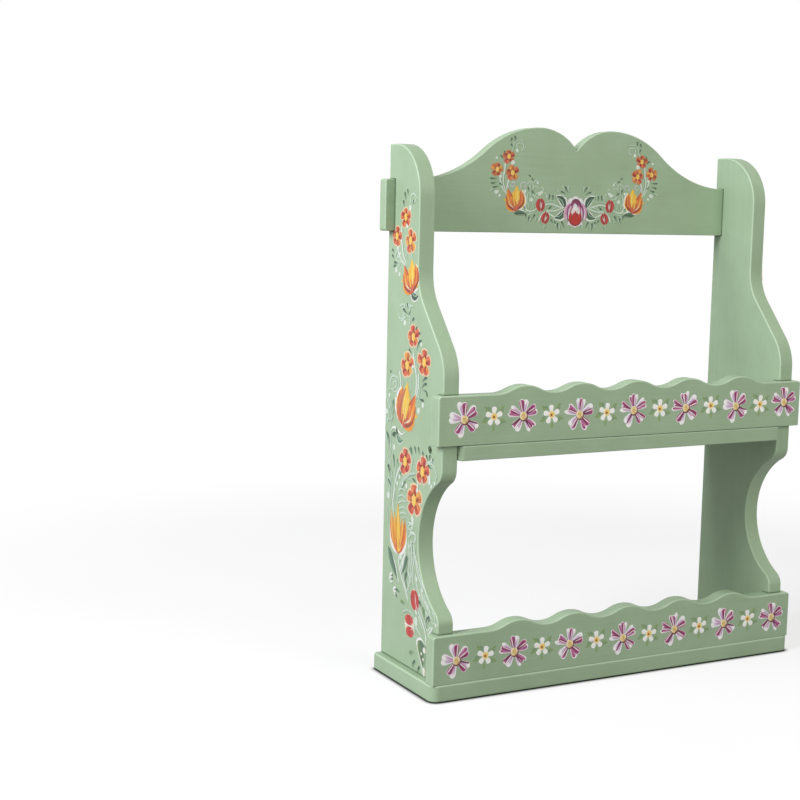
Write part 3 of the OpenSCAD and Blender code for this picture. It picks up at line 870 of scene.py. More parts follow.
def rose(brush):
    """The large middle flower: a pale fan of petals round a red heart, 28 mm wide and 32 mm high."""
    for k in range(-4, 5):
        angle = 90 + k * 25
        reach = (16.6, 15.8, 14.6, 13.6, 12.6)[abs(k)]
        brush.ray(0, -1.5, angle, 1.0, reach, 9.0, petal, (LAVENDER, WHITE, LAVENDER), 1 + k % 2,
                  cover=(1.0, 0.96))
        brush.ray(0, -1.5, angle + 4, 5.0, reach - 1.2, 1.4, leaf, (224, 196, 222), 3, tip=WHITE)
    for side in (-1, 1):
        brush.stroke([(side * 2.5, 9.0), (side * 10.4, 5.0), (side * 12.6, -4.0), (side * 9.8, -10.6)], 3.0,
                     leaf, (PINK, MAUVE), 4, (1.0, 0.9), rows=12)
        brush.stroke([(side * 2.0, 9.6), (side * 8.0, 4.5), (side * 9.6, -4.0), (side * 7.6, -10.0)], 2.2,
                     leaf, (MAGENTA, (150, 88, 150)), 5, rows=12)
        brush.stroke([(side * 1.6, 8.6), (side * 5.4, 3.0), (side * 6.4, -5.0)], 2.8, leaf, (PINK, MAGENTA),
                     5, rows=11)
    brush.marks(leaf,
        (4.2, (MAGENTA, BURGUNDY), 6, 12, None, -5.0, 4.4, -3.2, 9.2, 0.6, 10.6, 4.6, 8.6, 7.0, 3.6),
        (2.4, (BURGUNDY, MAGENTA), 7, 9, None, -1.6, 9.6, 1.4, 8.4, 3.6, 4.2))
    brush.ray(0, -6, 90, 0.0, 13.4, 5.0, leaf, (LAVENDER, WHITE, LAVENDER), 8)
    for side in (-1, 1):
        brush.stroke([(side * 4.4, -7.0), (side * 4.0, -1.6), (side * 3.0, 3.0)], 3.0, leaf,
                     (PINK, WHITE, TAN), 8)
    for k in range(-3, 4):
        brush.ray(k * 1.9, -11.6 + abs(k) * 0.7, -90 + k * 12, -3.0, 4.0, 3.6, petal, (PINK, WHITE, PINK),
                  4 + k % 2)
    brush.dot(0, -7.6, 7.6, (DARK_RED, RED, RED, RED, DARK_RED), 9, tall=0.86)
    for k, height in ((-2, 5.2), (-1, 2.4), (0, 6.6), (1, 2.4), (2, 5.2)):
        brush.ray(k * 2.8, -5.4, 90, -4.0, height, 4.2, leaf, RED if k % 2 else (DARK_RED, RED, RED), 10)
    brush.marks(leaf,
        (1.2, DARK_RED, 11, 9, None, -5.4, -10.0, -3.4, -12.4, 0, -13.4, 3.4, -12.4, 5.4, -10.0))


# Paintings

# A daisy's five groups of petals, each a word with one letter for a petal, and its turn in degrees
FLOWER_DESIGNS = (("wm pm bwm wm ww", 5), ("mw mbp pmbw wvb pmw", -3), ("wmw wbm mp vw wmp", -6),
                  ("pmw wmp mwm wbw wvm", 0), ("vmw wm mw wbm pvm", 3))
PITCH = 61.2            # daisies' spacing along a rail, which is close to that of its humps
FIRST_DAISY = -181.0
DAISY_COUNT = 7
DAISY_SIZE = 0.985
WANDER = 0.8            # how far a flower may lie over or under its row
WHITE_OVER = 0.6        # how far the white flowers' row lies over the daisies'
WHITE_TURN = 6          # degrees that a white flower may be turned by
# How fast the three waves run along a row, so that no two flowers lie alike
DAISY_WAVE = 2.3
WHITE_WAVE = 1.7
TURN_WAVE = 2.1


def rail_flowers(name, node, height, shift):
    """A row of daisies with a small white flower between each two, on a rail's front."""
    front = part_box(node)[0].y / MM
    brush = Brush()
    for k in range(DAISY_COUNT):
        groups, turn = FLOWER_DESIGNS[k % len(FLOWER_DESIGNS)]
        wander = WANDER * math.sin(k * DAISY_WAVE + shift)
        spot = brush.moved(FIRST_DAISY + shift + PITCH * k, height + wander, turn * 0.5, DAISY_SIZE)
        daisy(spot, groups, turn)
        if k < DAISY_COUNT - 1:
            lift = WANDER * math.cos(k * WHITE_WAVE + shift)
            spot = brush.moved(FIRST_DAISY + shift + PITCH * (k + 0.5), height + WHITE_OVER + lift)
            white_flower(spot, WHITE_TURN * math.sin(k * TURN_WAVE + shift))
    brush.picture(name, node, lambda across, height: (across, front, height))


def crest_half(brush):
    """The left half of the crest's garland, from the rose outwards and up."""
    # Stems
    brush.lines(1.7, line, (WHITE, MINT), 1, (0.9, 0.7),
        (-82, 489, -82.5, 479.5, -84, 472, -83, 464.5, -80, 459),
        (-88, 474.5, -86.5, 468, -84, 462, -79.5, 457), (-77, 472.5, -79, 466.5, -80, 461),
        (-63, 458.5, -60, 452, -58.5, 447, -56.5, 442.5), (-58, 443, -54, 441, -49, 441.5, -43.5, 444.5),
        (-36.5, 447, -30, 448.5, -21.5, 446.5, -13.5, 444.5), (-32, 439.5, -26.5, 437, -21, 434.5),
        (-42.5, 431, -41, 435.5, -37.5, 439.5, -33, 440), (-34, 442, -26, 441.5, -14.5, 444.5))
    brush.lines(1.4, line, (MINT, SEA), 1, (0.9, 0.65),
        (-75, 497, -73.5, 503, -70.5, 507.5, -65.5, 508.5, -61, 507.5),
        (-53.5, 468, -53, 459.5, -51, 454, -46.5, 450), (-54.5, 444, -54, 449, -52, 452.5),
        (-48.5, 443.5, -50, 448, -49.5, 452), (-35.5, 450, -30, 451.5, -22, 451),
        (-33, 439.5, -27.5, 443, -20.5, 446), (-22, 455.5, -16, 456.5, -10, 454.5))
    # Fine scrolls
    brush.lines(1.2, line, MINT, 2, (0.85, 0.6),
        (-68.5, 500, -70, 504, -66.5, 506, -62.5, 504.5, -63, 500.5, -66.5, 501),
        (-65, 498, -61.5, 500, -60, 503.5), (-57, 466.5, -53.5, 469.5, -50, 467.5, -49.5, 463),
        (-50.5, 462, -48.5, 465, -44.5, 464, -45, 460.5), (-50, 458, -47.5, 455, -42, 453.5),
        (-49, 468.5, -46.5, 471, -43.5, 468.5), (-37, 459.5, -34.5, 457.5, -34.5, 452.5),
        (-56, 435.5, -53.5, 438.5, -48, 439.5), (-61.5, 461, -58, 456, -57, 450),
        (-55.5, 458.5, -56.5, 452.5, -55, 447), (-44, 458.5, -47, 457, -48, 454),
        (-41, 464.5, -38, 463, -38.5, 459))
    brush.lines(1.2, line, LAVENDER, 2, (0.75, 0.5),
        (-75, 467, -72, 468.5, -70.5, 466, -73.5, 464, -75.5, 465.5),
        (-78, 462.5, -78.5, 466.5, -76.5, 469.5),
        (-63.5, 462.5, -64, 466.5, -60.5, 468.5, -58, 466, -59.5, 462.5))
    # Dark dabs
    brush.lines(1.6, comma, DEEP_GREEN, 3, (1.0, 0.7), (-75.5, 510.5, -76.5, 508.5, -77, 506.5),
        (-72.5, 512.5, -72, 510, -71.5, 507), (-76.5, 505, -75.5, 503, -75, 501),
        (-83.5, 498, -83.5, 496.5, -83, 494), (-88, 493.5, -86, 492, -84.5, 489.5),
        (-99, 471.5, -95, 471.5, -90.5, 471.5), (-98, 467, -95, 467, -91.5, 468.5),
        (-95.5, 463, -92.5, 463.5, -89, 465), (-88, 467.5, -86.5, 466, -84.5, 464.5),
        (-55.5, 475.5, -54, 475, -52.5, 473.5), (-52, 472.5, -50.5, 471.5, -49.5, 470),
        (-56, 464.5, -55, 462, -54, 459.5), (-51, 461, -50, 459, -47.5, 457.5),
        (-31, 458, -31, 455.5, -31, 452), (-27, 457.5, -27, 455, -27, 451.5),
        (-31.5, 443.5, -29.5, 445.5, -26.5, 447.5), (-58, 438, -57.5, 436.5, -57, 434),
        (-53.5, 436, -54, 433.5, -55, 430.5), (-47, 438, -48.5, 436, -50, 433),
        (-28.5, 433.5, -27.5, 432, -26, 430), (-24.5, 432, -23.5, 430.5, -22.5, 428.5),
        (-20.5, 430.5, -20.5, 427.5, -20, 422.5), (-16, 432, -14.5, 429, -12.5, 425),
        (-18, 461, -15, 460, -11.5, 458), (-13, 466, -11.5, 463, -9, 459.5),
        (-62, 446.5, -60, 445, -58, 443))
    brush.lines(1.9, comma, (MINT, SEA), 2, (0.85, 0.5), (-51.5, 435, -52.5, 432.5, -54.5, 429),
        (-45.5, 436, -46, 433.5, -47, 430.5), (-32.5, 457.5, -33, 455, -33, 452.5),
        (-25, 458.5, -24.5, 456.5, -24.5, 453), (-18.5, 429, -18, 425.5, -17.5, 421.5),
        (-9, 429.5, -8, 427, -6, 424), (-16, 467, -14.5, 464, -12, 461),
        (-9, 466.5, -8.5, 463.5, -7.5, 459.5), (-21.5, 462.5, -20, 460.5, -17.5, 458),
        (-22.5, 429.5, -23, 427, -24, 424.5), (-35.5, 428, -36, 426, -37, 423.5),
        (-88, 477, -85.5, 476, -84.5, 473.5), (-99, 460, -96.5, 461, -93, 462))
    # White dabs
    brush.spots((WHITE, MINT), 3, 0.92, (-69.5, 498.5, 1.7), (-74, 487, 2.3), (-87.5, 473.5, 1.6),
        (-92, 458.5, 1.9), (-90.5, 459, 1.5), (-88, 455.5, 1.4), (-92, 491, 1.2), (-59.5, 460, 1.7),
        (-42.5, 458, 2.0), (-40, 459.5, 1.5), (-52, 452, 1.8), (-45, 468.5, 1.3))
    # Leaves by the rose, and the one under the tulip
    outlined_leaf(brush, [(-11.6, 444.5), (-15.5, 452.5), (-23.2, 457.0)], 6.6)
    outlined_leaf(brush, [(-12.6, 443.4), (-16.5, 436.6), (-25.0, 434.4)], 6.2)
    brush.lines(2.3, leaf, WHITE, 1, (0.95, 0.85), (-78, 441.5, -72, 440.4, -64, 441.8, -56, 440))
    brush.lines(4.2, leaf, (DEEP_GREEN, LEAF_GREEN), 3, (1, 0.95), (-71, 438.2, -64.5, 439.8, -57, 438.2))
    # Flowers
    five_petals(brush.moved(-78.4, 492.6, 4, 0.62), (EMBER, EMBER, FLAME), 0, RUSTY_EDGE)
    five_petals(brush.moved(-91.0, 480, -10, 0.64), (EMBER, GOLD, EMBER), 0, RUSTY_EDGE)
    five_petals(brush.moved(-73.8, 477.4, 10, 0.67), (GOLD, EMBER, FIRE), 0, RUSTY_EDGE)
    bud(brush.moved(-41, 447.3, size=1.05), 6)
    bud(brush.moved(-35, 434.8, size=0.95), -16)
    tulip(brush.moved(-70.6, 452.4, 6, 1.12, 1.02))


CREST_TONE = 0.86       # share of their brightness that the crest's colours keep
ROSE_HEIGHT = 441.5


def crest_garland():
    """The garland on the crest's front: a rose in the middle, and two halves alike."""
    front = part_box("crest_board")[0].y / MM
    brush = Brush(CREST_TONE)
    crest_half(brush)
    crest_half(brush.moved(flip=True))
    rose(brush.moved(0, ROSE_HEIGHT))
    brush.picture("crest_painting", "crest_board", lambda across, height: (across, front, height))


# Heights on a side board, and how much the bouquet is drawn in from the front there
SIDE_FIT = ((0, 1.0), (60, 0.98), (110, 0.935), (160, 0.905), (330, 0.905), (400, 0.935), (500, 0.95))


def on_side(depth, height):
    """The depth at which the side board carries what is drawn at this depth and height."""
    for (low, fit_low), (high, fit_high) in zip(SIDE_FIT, SIDE_FIT[1:]):
        if height <= high:
            return depth * (fit_low + (fit_high - fit_low) * max(0.0, (height - low) / (high - low)))
    return depth * SIDE_FIT[-1][1]


def side_flowers(brush):
    """The tall bouquet on a side board's outer face. x is the depth from the back edge, and y the height."""
    # Stems
    brush.lines(2.7, line, (WHITE, MINT), 1, (0.95, 0.85),
        (28.5, 425, 28, 416, 30, 406.5, 33.5, 397.5, 40, 390.5), (19, 406.5, 23.5, 399, 30, 393, 38, 389),
        (59, 312, 63.5, 299.5, 68, 287, 66.5, 274.5, 59.5, 260.5),
        (71.5, 293, 72.5, 284, 69.5, 274.5, 63, 264.5), (30.5, 291.5, 33.5, 283.5, 34, 275),
        (36.5, 203, 28, 190.5, 24, 178.5, 21.5, 165.5, 24, 155.5), (74, 195.5, 75.5, 188.5, 73, 180.5),
        (38, 119, 36.5, 111, 41, 100.5, 49.5, 89, 56, 78.5), (19.5, 117, 29.5, 107.5, 34, 97, 37, 92),
        (51, 122, 41.5, 110, 39, 103), (76, 74.5, 84, 66.5, 91, 56, 91, 44.5),
        (105, 65.5, 97.5, 58, 92.5, 51))
    brush.lines(2.4, line, (MINT, SEA), 1, (0.95, 0.85), (47, 403.5, 53.5, 394), (41, 403.5, 39.5, 396),
        (50, 344, 50, 334), (70, 200.5, 54.5, 197, 43, 189.5, 34.5, 177.5, 30, 166),
        (64, 120, 62.5, 110, 66, 100.5, 71, 91.5),
        (69, 134, 71.5, 121.5, 76, 109.5, 84.5, 98.5, 92.5, 87, 98.5, 77.5),
        (44.5, 66, 54.5, 70, 64.5, 69, 70.5, 64), (1.5, 244, 12, 244, 20, 249),
        (-1, 236.5, 2.5, 228.5, 7, 217.5), (61, 95.5, 59, 102.5, 57.5, 113, 59, 122.5))
    # Fine scrolls
    brush.lines(1.9, line, MINT, 2, (0.9, 0.65),
        (45, 445, 45, 451.5, 50.5, 454.5, 56.5, 451.5, 53.5, 447, 47, 448),
        (24, 391, 18, 394.5, 23.5, 396.5, 28, 393, 22, 387, 14, 386), (15.5, 396, 17.5, 401, 23.5, 403),
        (27.5, 350.5, 33.5, 353.5, 39.5, 352.5, 36, 349.5, 30, 350),
        (26, 345, 28, 340.5, 34, 340, 38, 343, 34, 346), (43.5, 355, 47.5, 353, 53, 354.5),
        (47.5, 349, 51.5, 352.5, 57, 353.5), (42, 343.5, 36, 339, 30.5, 338),
        (11, 274.5, 10.5, 282, 18.5, 285.5, 28.5, 284, 29, 275.5, 21, 271, 13, 272.5),
        (17, 276, 18.5, 281, 25, 279.5, 23, 275, 19, 275.5), (5, 259.5, 3, 267.5, 8.5, 274),
        (11.5, 253.5, 7, 260.5, 11, 267), (-1, 257, 1, 263, 5, 268), (4, 238.5, 8, 246.5, 5.5, 254),
        (33.5, 180, 41.5, 182, 49.5, 181), (33.5, 173.5, 41.5, 176, 50.5, 174.5),
        (33, 167, 42, 170.5, 52, 171), (35, 162, 44, 165, 53, 164.5), (36.5, 157, 44.5, 160, 52.5, 159.5),
        (57, 145.5, 56.5, 149.5, 62.5, 152, 66.5, 149.5, 61, 145.5),
        (56, 138, 63, 143, 70.5, 143, 69, 137, 61.5, 135.5),
        (57.5, 127, 61.5, 132.5, 69.5, 132.5, 67.5, 126.5, 60, 123.5), (92, 213.5, 99.5, 215.5, 105.5, 220),
        (94, 213, 103.5, 214, 110, 211.5), (97.5, 215, 105, 217, 109.5, 215.5),
        (109, 211.5, 113, 205.5, 111.5, 199), (88.5, 208, 92.5, 203, 95.5, 200),
        (90.5, 92.5, 93.5, 82, 100.5, 76.5, 106.5, 71.5), (104, 80, 110, 76, 108.5, 70, 102, 71))
    brush.lines(1.9, line, (MINT, SEA), 1, (0.88, 0.6), (2.5, 230.5, 7, 223.5, 8, 214),
        (12.5, 234, 14, 223.5, 11.5, 212.5), (2, 208.5, 7.5, 201.5, 9, 193),
        (15.5, 207.5, 14, 198.5, 18.5, 189), (4, 188.5, 8.5, 180.5, 15, 175),
        (26, 207.5, 25.5, 197.5, 21, 186.5), (7.5, 161, 10, 152.5, 11, 145),
        (63.5, 215, 62, 207.5, 60, 200.5), (52.5, 193.5, 62.5, 192.5, 68.5, 188),
        (42.5, 154, 50.5, 156.5, 56.5, 155), (66, 123, 67, 113, 70.5, 102.5),
        (59.5, 92.5, 51, 100, 47.5, 108.5), (73, 94, 79, 85, 85.5, 78), (69, 57, 77, 55, 85, 49.5),
        (67.5, 49, 75, 48, 83, 47.5), (58.5, 156.5, 54, 149, 56, 141))
    # Dark dabs
    brush.lines(2.6, comma, DEEP_GREEN, 3, (1.0, 0.7), (33, 456, 34, 452, 35, 448.5),
        (38.5, 458.5, 39, 456, 39.5, 453), (30.5, 448.5, 31, 446, 32, 442.5),
        (50.5, 448.5, 51.5, 447, 51.5, 444.5), (8.5, 403.5, 10.5, 402, 12.5, 400),
        (8.5, 398, 11, 396.5, 12.5, 394.5), (13, 391.5, 17, 391, 21, 392), (12, 387.5, 15, 388, 19, 390),
        (35, 349.5, 40, 347.5, 45, 345.5), (44.5, 355.5, 45, 352.5, 46, 350),
        (48, 344.5, 49.5, 346.5, 51.5, 349), (59.5, 342.5, 56.5, 340.5, 55, 339),
        (67.5, 334.5, 64.5, 333, 62, 331), (73.5, 330, 70.5, 328.5, 68, 327),
        (76.5, 323.5, 70, 320, 67, 313.5), (50, 313.5, 53, 311.5, 56, 309.5),
        (89.5, 291, 84, 289, 79.5, 285), (89.5, 285, 84, 284, 78.5, 279.5),
        (91, 273.5, 88.5, 278, 81.5, 278.5), (84, 269, 78, 269.5, 72.5, 270.5),
        (10.5, 290, 11, 288.5, 11.5, 286.5), (4.5, 231.5, 7.5, 225.5, 10, 218),
        (20.5, 212, 22.5, 205.5, 23.5, 199), (8, 200, 12, 195.5, 17, 189.5), (10, 186.5, 15, 182.5, 18, 179),
        (58, 224, 60.5, 220, 62, 215.5), (67, 225.5, 68.5, 222, 69.5, 218.5),
        (74.5, 226, 76, 222.5, 77.5, 219), (84, 223, 85, 219.5, 85.5, 215.5),
        (92, 221, 93.5, 218, 94.5, 215.5), (100, 222.5, 98.5, 219.5, 97.5, 216.5),
        (106, 219.5, 105.5, 217.5, 105.5, 215), (63.5, 195, 68.5, 193.5, 74, 191.5),
        (95, 212, 99.5, 210.5, 103.5, 209.5), (54, 107, 51.5, 99, 53.5, 91), (30.5, 84, 34.5, 84, 39.5, 83),
        (30.5, 80, 31.5, 78, 33.5, 76.5), (78, 84, 80, 81.5, 80.5, 78), (99, 74.5, 93, 69.5, 92.5, 61),
        (71, 26.5, 66.5, 22, 67.5, 18.5), (80, 23.5, 77, 19.5, 76.5, 16),
        (40.5, 201, 38.5, 197, 34.5, 193.5))
    brush.lines(3.6, comma, (LEAF_GREEN, OLIVE), 3, (0.95, 0.6), (86, 80.5, 86.5, 76.5, 86, 71),
        (40.5, 75.5, 45, 75.5, 50, 76), (59, 30.5, 63, 32.5, 68, 34.5), (73.5, 78, 75, 73.5, 78, 68.5))
    brush.lines(1.9, line, (MINT, SEA), 2, (0.9, 0.65), (46.5, 355.5, 49.5, 348.5, 52, 338.5),
        (40, 345, 34, 341, 38.5, 336.5), (63, 310.5, 67, 300, 70.5, 289.5, 70, 280),
        (54.5, 287.5, 56.5, 280.5, 53, 272), (36.5, 285.5, 39, 278.5, 37.5, 271),
        (75.5, 282.5, 74, 273.5, 71, 264),
        (10, 286.5, 20.5, 286, 25, 280.5, 19, 273.5, 9, 273, 8.5, 280, 16.5, 282.5),
        (29, 277.5, 23.5, 269, 27.5, 264), (5, 263.5, 8.5, 253, 7, 242.5), (11.5, 263, 15, 253, 13.5, 239.5),
        (1.5, 253.5, 4, 242, 12.5, 235.5), (70.5, 273, 76.5, 268, 71, 262),
        (74.5, 270.5, 82, 269, 82, 264.5), (2.5, 229.5, 9, 223.5, 9, 215), (13, 224.5, 15.5, 216, 11.5, 207),
        (5, 212.5, 9.5, 205.5, 16, 200), (26.5, 199.5, 24.5, 190, 26, 179.5, 25.5, 167),
        (18.5, 196.5, 16.5, 185, 19.5, 173.5, 15.5, 161.5), (10, 191.5, 15, 182.5, 13, 170),
        (46.5, 194.5, 37, 185.5, 32.5, 174, 31, 162.5), (56.5, 197, 45, 190.5, 39, 183),
        (90.5, 207.5, 98, 204, 102, 197.5), (83.5, 201.5, 89, 197, 91.5, 190),
        (105, 213.5, 112.5, 208.5, 115, 201.5))
    brush.lines(1.8, line, (MINT, WHITE), 2, (0.88, 0.65), (56.5, 153, 64.5, 152, 62, 146.5, 56, 147.5),
        (59, 143.5, 67.5, 145, 72.5, 141.5, 69, 135), (56.5, 134.5, 59, 122.5, 58.5, 109.5),
        (62, 137.5, 64, 123.5, 62.5, 110, 62, 97), (67, 134, 69, 121, 65.5, 108, 66, 95),
        (72.5, 125.5, 74, 115.5, 79, 105.5, 88.5, 96.5), (74.5, 120.5, 80, 108.5, 89, 98.5, 98, 89.5),
        (71.5, 108.5, 74, 97.5, 81, 89, 91, 80.5), (54.5, 106.5, 60, 101, 56.5, 91.5, 50.5, 84.5),
        (48.5, 115.5, 45, 103.5, 48.5, 93.5, 51.5, 85), (46, 99, 51.5, 88.5, 56, 80),
        (82.5, 92.5, 92.5, 83.5, 100.5, 74.5), (90.5, 88.5, 99.5, 79.5, 103, 69.5),
        (75.5, 85, 82.5, 75.5, 89.5, 66, 96, 56.5), (70, 78, 78, 68.5, 84.5, 59),
        (91, 77.5, 96, 72.5, 92, 63.5), (66.5, 64, 72.5, 58, 81, 52.5), (95.5, 60, 101, 65, 104, 62.5))
    brush.lines(1.7, comma, (DEEP_GREEN, LEAF_GREEN), 3, (0.95, 0.6), (51, 104.5, 49, 96.5, 53.5, 90),
        (35, 349.5, 40, 347.5, 45, 345), (18.5, 264, 20, 253.5, 16.5, 242), (7.5, 229.5, 11, 224, 10, 218),
        (20.5, 211, 23, 207, 22, 201), (10, 201, 14, 197, 19.5, 193), (30, 209, 31, 204.5, 33.5, 200),
        (49, 190.5, 43, 184.5, 40.5, 178.5), (55.5, 222, 58.5, 220, 58.5, 216),
        (50.5, 220.5, 52.5, 217, 53.5, 214.5), (80, 85, 82.5, 81, 81.5, 75), (89, 78, 88.5, 73, 87, 67),
        (101, 71.5, 96, 70, 92.5, 64), (65, 136, 65.5, 128.5, 65, 120), (60.5, 85, 66, 80.5, 74, 76))
    # White dabs
    brush.spots((WHITE, MINT), 3, 0.92, (44.5, 441.5, 2.6), (39, 425, 2.0), (18, 384, 2.4),
        (25.5, 380.5, 2.0), (21.5, 405, 1.6), (25.5, 399.5, 1.6), (39.5, 336.5, 2.6), (76, 319.5, 2.0),
        (58.5, 298.5, 2.2), (82, 265, 2.6), (73, 259, 3.0), (3, 250.5, 2.6), (8.5, 266.5, 2.0),
        (21.5, 218.5, 2.8), (10.5, 171, 3.4), (35, 192.5, 2.2), (30, 185.5, 2.0), (42, 187, 1.8),
        (50.5, 186, 2.4), (98.5, 200, 3.0), (99, 197, 2.6), (103.5, 193.5, 1.8), (109.5, 197.5, 1.8),
        (74, 185.5, 2.2), (65, 157, 2.8), (65.5, 154, 2.2), (39.5, 117.5, 3.0), (73.5, 103, 2.2),
        (84.5, 95, 2.0), (73, 72.5, 2.6), (71.5, 64.5, 3.0), (72, 61.5, 2.4), (111, 69.5, 1.8),
        (95.5, 82.5, 1.6), (79, 89.5, 1.6))
    # The small white hooks near the back edge
    brush.lines(2.2, line, WHITE, 4, (0.95, 0.85), (22.5, 98, 17.5, 95.5, 17, 92, 18.5, 89, 24, 90),
        (18, 93, 21.5, 94), (30.5, 86, 25.5, 84, 26.5, 81, 29.5, 78.5), (26, 81.5, 30.5, 82.5))
    brush.spots(DEEP_GREEN, 4, 0.9, (23, 96, 1.0), (23.5, 92.5, 1.0))
    # Top: three flowers over the first tulip
    five_petals(brush.moved(36.4, 433.2, 6, 0.88, 1.08), (FIRE, FLAME))
    five_petals(brush.moved(18.6, 415.4, -6, 0.9, 1.06), (FLAME, FIRE))
    five_petals(brush.moved(47.4, 412.0, 12, 1.0, 1.04), (FIRE, GOLD))
    outlined_leaf(brush, [(50, 365.5), (58.5, 361), (68.5, 362.5)], 7.0, rim=1.0)
    tulip(brush.moved(49.5, 378.5, 12, 1.42, 1.25))
    # Middle: three flowers and the second tulip, with its leaves
    five_petals(brush.moved(59.5, 325.0, 10, 0.98, 1.2), (FLAME, FIRE))
    five_petals(brush.moved(83.5, 304.0, -4, 1.08, 1.16), (FLAME, FIRE))
    five_petals(brush.moved(47.5, 298.0, 8, 1.1, 1.22), (GOLD, FIRE, FLAME))
    brush.lines(2.0, comma, (DEEP_GREEN, SEA), 2, (0.9, 0.6), (17.5, 263, 14.5, 254, 16, 243))
    brush.lines(2.4, leaf, WHITE, 2, (0.95, 0.9), (13, 233, 20, 237.5, 29, 235.5, 38, 232.5, 47, 236.5))
    tulip(brush.moved(48.0, 259.5, -18, 1.95, 1.12, flip=True))
    brush.stroke([(38, 242), (31, 254), (36, 266), (46, 277)], 11.0, leaf,
                 ((176, 70, 50), (206, 100, 62), ORANGE), 9, (1.0, 0.9), tip=(214, 120, 72), rows=12)
    brush.stroke([(40, 243), (47, 258), (56, 276)], 2.6, leaf, (255, 222, 120), 10, (0.9, 0.7), tip=YELLOW)
    brush.stroke([(36.5, 246), (38.5, 258), (42, 270)], 2.0, leaf, AMBER, 10, (0.9, 0.6), tip=YELLOW)
    brush.lines(4.6, leaf, DEEP_GREEN, 3, (1, 0.95), (27, 231, 27.5, 234.5, 26, 238),
        (17, 229.5, 21, 231, 26, 232.5))
    outlined_leaf(brush, [(27, 231.5), (33, 226.5), (42, 227)], 6.0, (96, 140, 108), MINT)
    # Bottom: three flowers and the tall tulip
    five_petals(brush.moved(47.0, 208.4, 6, 1.18, 1.14), (FLAME, (CRIMSON, CRIMSON, CORAL)))
    five_petals(brush.moved(84.6, 204.4, -8, 1.2, 1.12), (FLAME, (CRIMSON, CORAL, ORANGE)))
    five_petals(brush.moved(68.2, 175.2, 4, 1.34, 1.16), (FIRE, FIRE, (CRIMSON, CRIMSON, CORAL), FIRE, GOLD))
    tall_tulip(brush.moved(34.5, 141.5))
    foot_of_bouquet(brush)


def foot_of_bouquet(brush):
    """The leaves and buds below the tall tulip."""
    brush.lines(9.0, leaf, ((96, 138, 110), (72, 112, 86), DEEP_GREEN), 3, (0.9, 0.9),
        (13, 122, 21.5, 109, 33, 94.5))
    brush.lines(5.4, leaf, (LEAF_GREEN, DEEP_GREEN), 3, (0.95, 0.9), (54.5, 121.5, 50.5, 113, 43.5, 101))
    brush.lines(1.8, line, WHITE, 4, (0.95, 0.8), (51, 124, 46.6, 115, 41, 101))
    split_bud(brush.moved(70.0, 82.6, 8, 1.0))
    split_bud(brush.moved(59.0, 56.0, 4, 1.05), cross=True)
    brush.lines(16.0, comma, WHITE, 2, (1, 0.95), (80.5, 50.5, 81.5, 38, 87, 20))
    brush.lines(14.4, comma, (OLIVE, LEAF_GREEN, LEAF_GREEN), 4, (1, 1), (82, 48.5, 82.6, 37.5, 87, 23))
    brush.lines(3.6, leaf, DEEP_GREEN, 5, (0.9, 0.7), (80, 46, 84, 43, 88, 41.5), (84.5, 35, 84, 31, 86, 27))
    brush.spots((CREAM, WHITE), 6, 0.95, (89, 40.5, 2.8), (83.5, 36, 1.5), (87, 31.5, 1.4),
        (88.5, 21.5, 2.6), (88.5, 18.5, 2.2))


MIDDLE_ROW = 256.6      # the height of each rail's row of daisies
LOWER_ROW = 38.0
LOWER_SHIFT = -2.0      # how far the lower row lies to the side of the middle one
SIDE_TONE = 0.76        # share of their brightness that the sides' colours keep


def paint_sides():
    """The bouquet on the left side board's outer face, and its mirror image on the right one's."""
    bouquet = Brush(SIDE_TONE)
    side_flowers(bouquet)
    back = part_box("left_side")[1].y / MM
    left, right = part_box("left_side")[0].x / MM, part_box("right_side")[1].x / MM
    for side, face in (("left_side", left), ("right_side", right)):
        bouquet.picture(side + "_painting", side,
                        lambda depth, height: (face, back - on_side(depth, height), height))


rail_flowers("middle_rail_painting", "middle_rail", MIDDLE_ROW, 0.0)
rail_flowers("lower_rail_painting", "lower_rail", LOWER_ROW, LOWER_SHIFT)
crest_garland()
paint_sides()


# Camera: where the photograph was taken from, fitted to the rack's edges

CAMERA_PLACE = (-836.7, -1188.9, 436.6)
CAMERA_YAW = 0.4816     # this and the next two in radians
CAMERA_PITCH = 0.1247
CAMERA_ROLL = -0.0206
FOCAL_PIXELS = 1490.8
IMAGE_PIXELS = 800
SENSOR = 36.0


def photo_camera():
    """A camera at CAMERA_PLACE that looks along its yaw and pitch, turned by its roll."""
    forward = Vector((math.sin(CAMERA_YAW) * math.cos(CAMERA_PITCH),
                      math.cos(CAMERA_YAW) * math.cos(CAMERA_PITCH), -math.sin(CAMERA_PITCH)))
    right = Vector((math.cos(CAMERA_YAW), -math.sin(CAMERA_YAW), 0))
    down = forward.cross(right)
    turned_right = right * math.cos(CAMERA_ROLL) + down * math.sin(CAMERA_ROLL)
    turned_down = down * math.cos(CAMERA_ROLL) - right * math.sin(CAMERA_ROLL)
    data = bpy.data.cameras.new("photo_camera")
    data.sensor_width = SENSOR
    data.lens = FOCAL_PIXELS / IMAGE_PIXELS * SENSOR
    data.clip_start, data.clip_end = 0.05, 50
    camera = place_in_scene("photo_camera", data)
    axes = Matrix((turned_right, -turned_down, -forward)).transposed()
    camera.matrix_world = Matrix.Translation(Vector(CAMERA_PLACE) * MM) @ axes.to_4x4()
    bpy.context.scene.camera = camera


photo_camera()


# Floor and lights. Reaches, sizes and places are in metres.

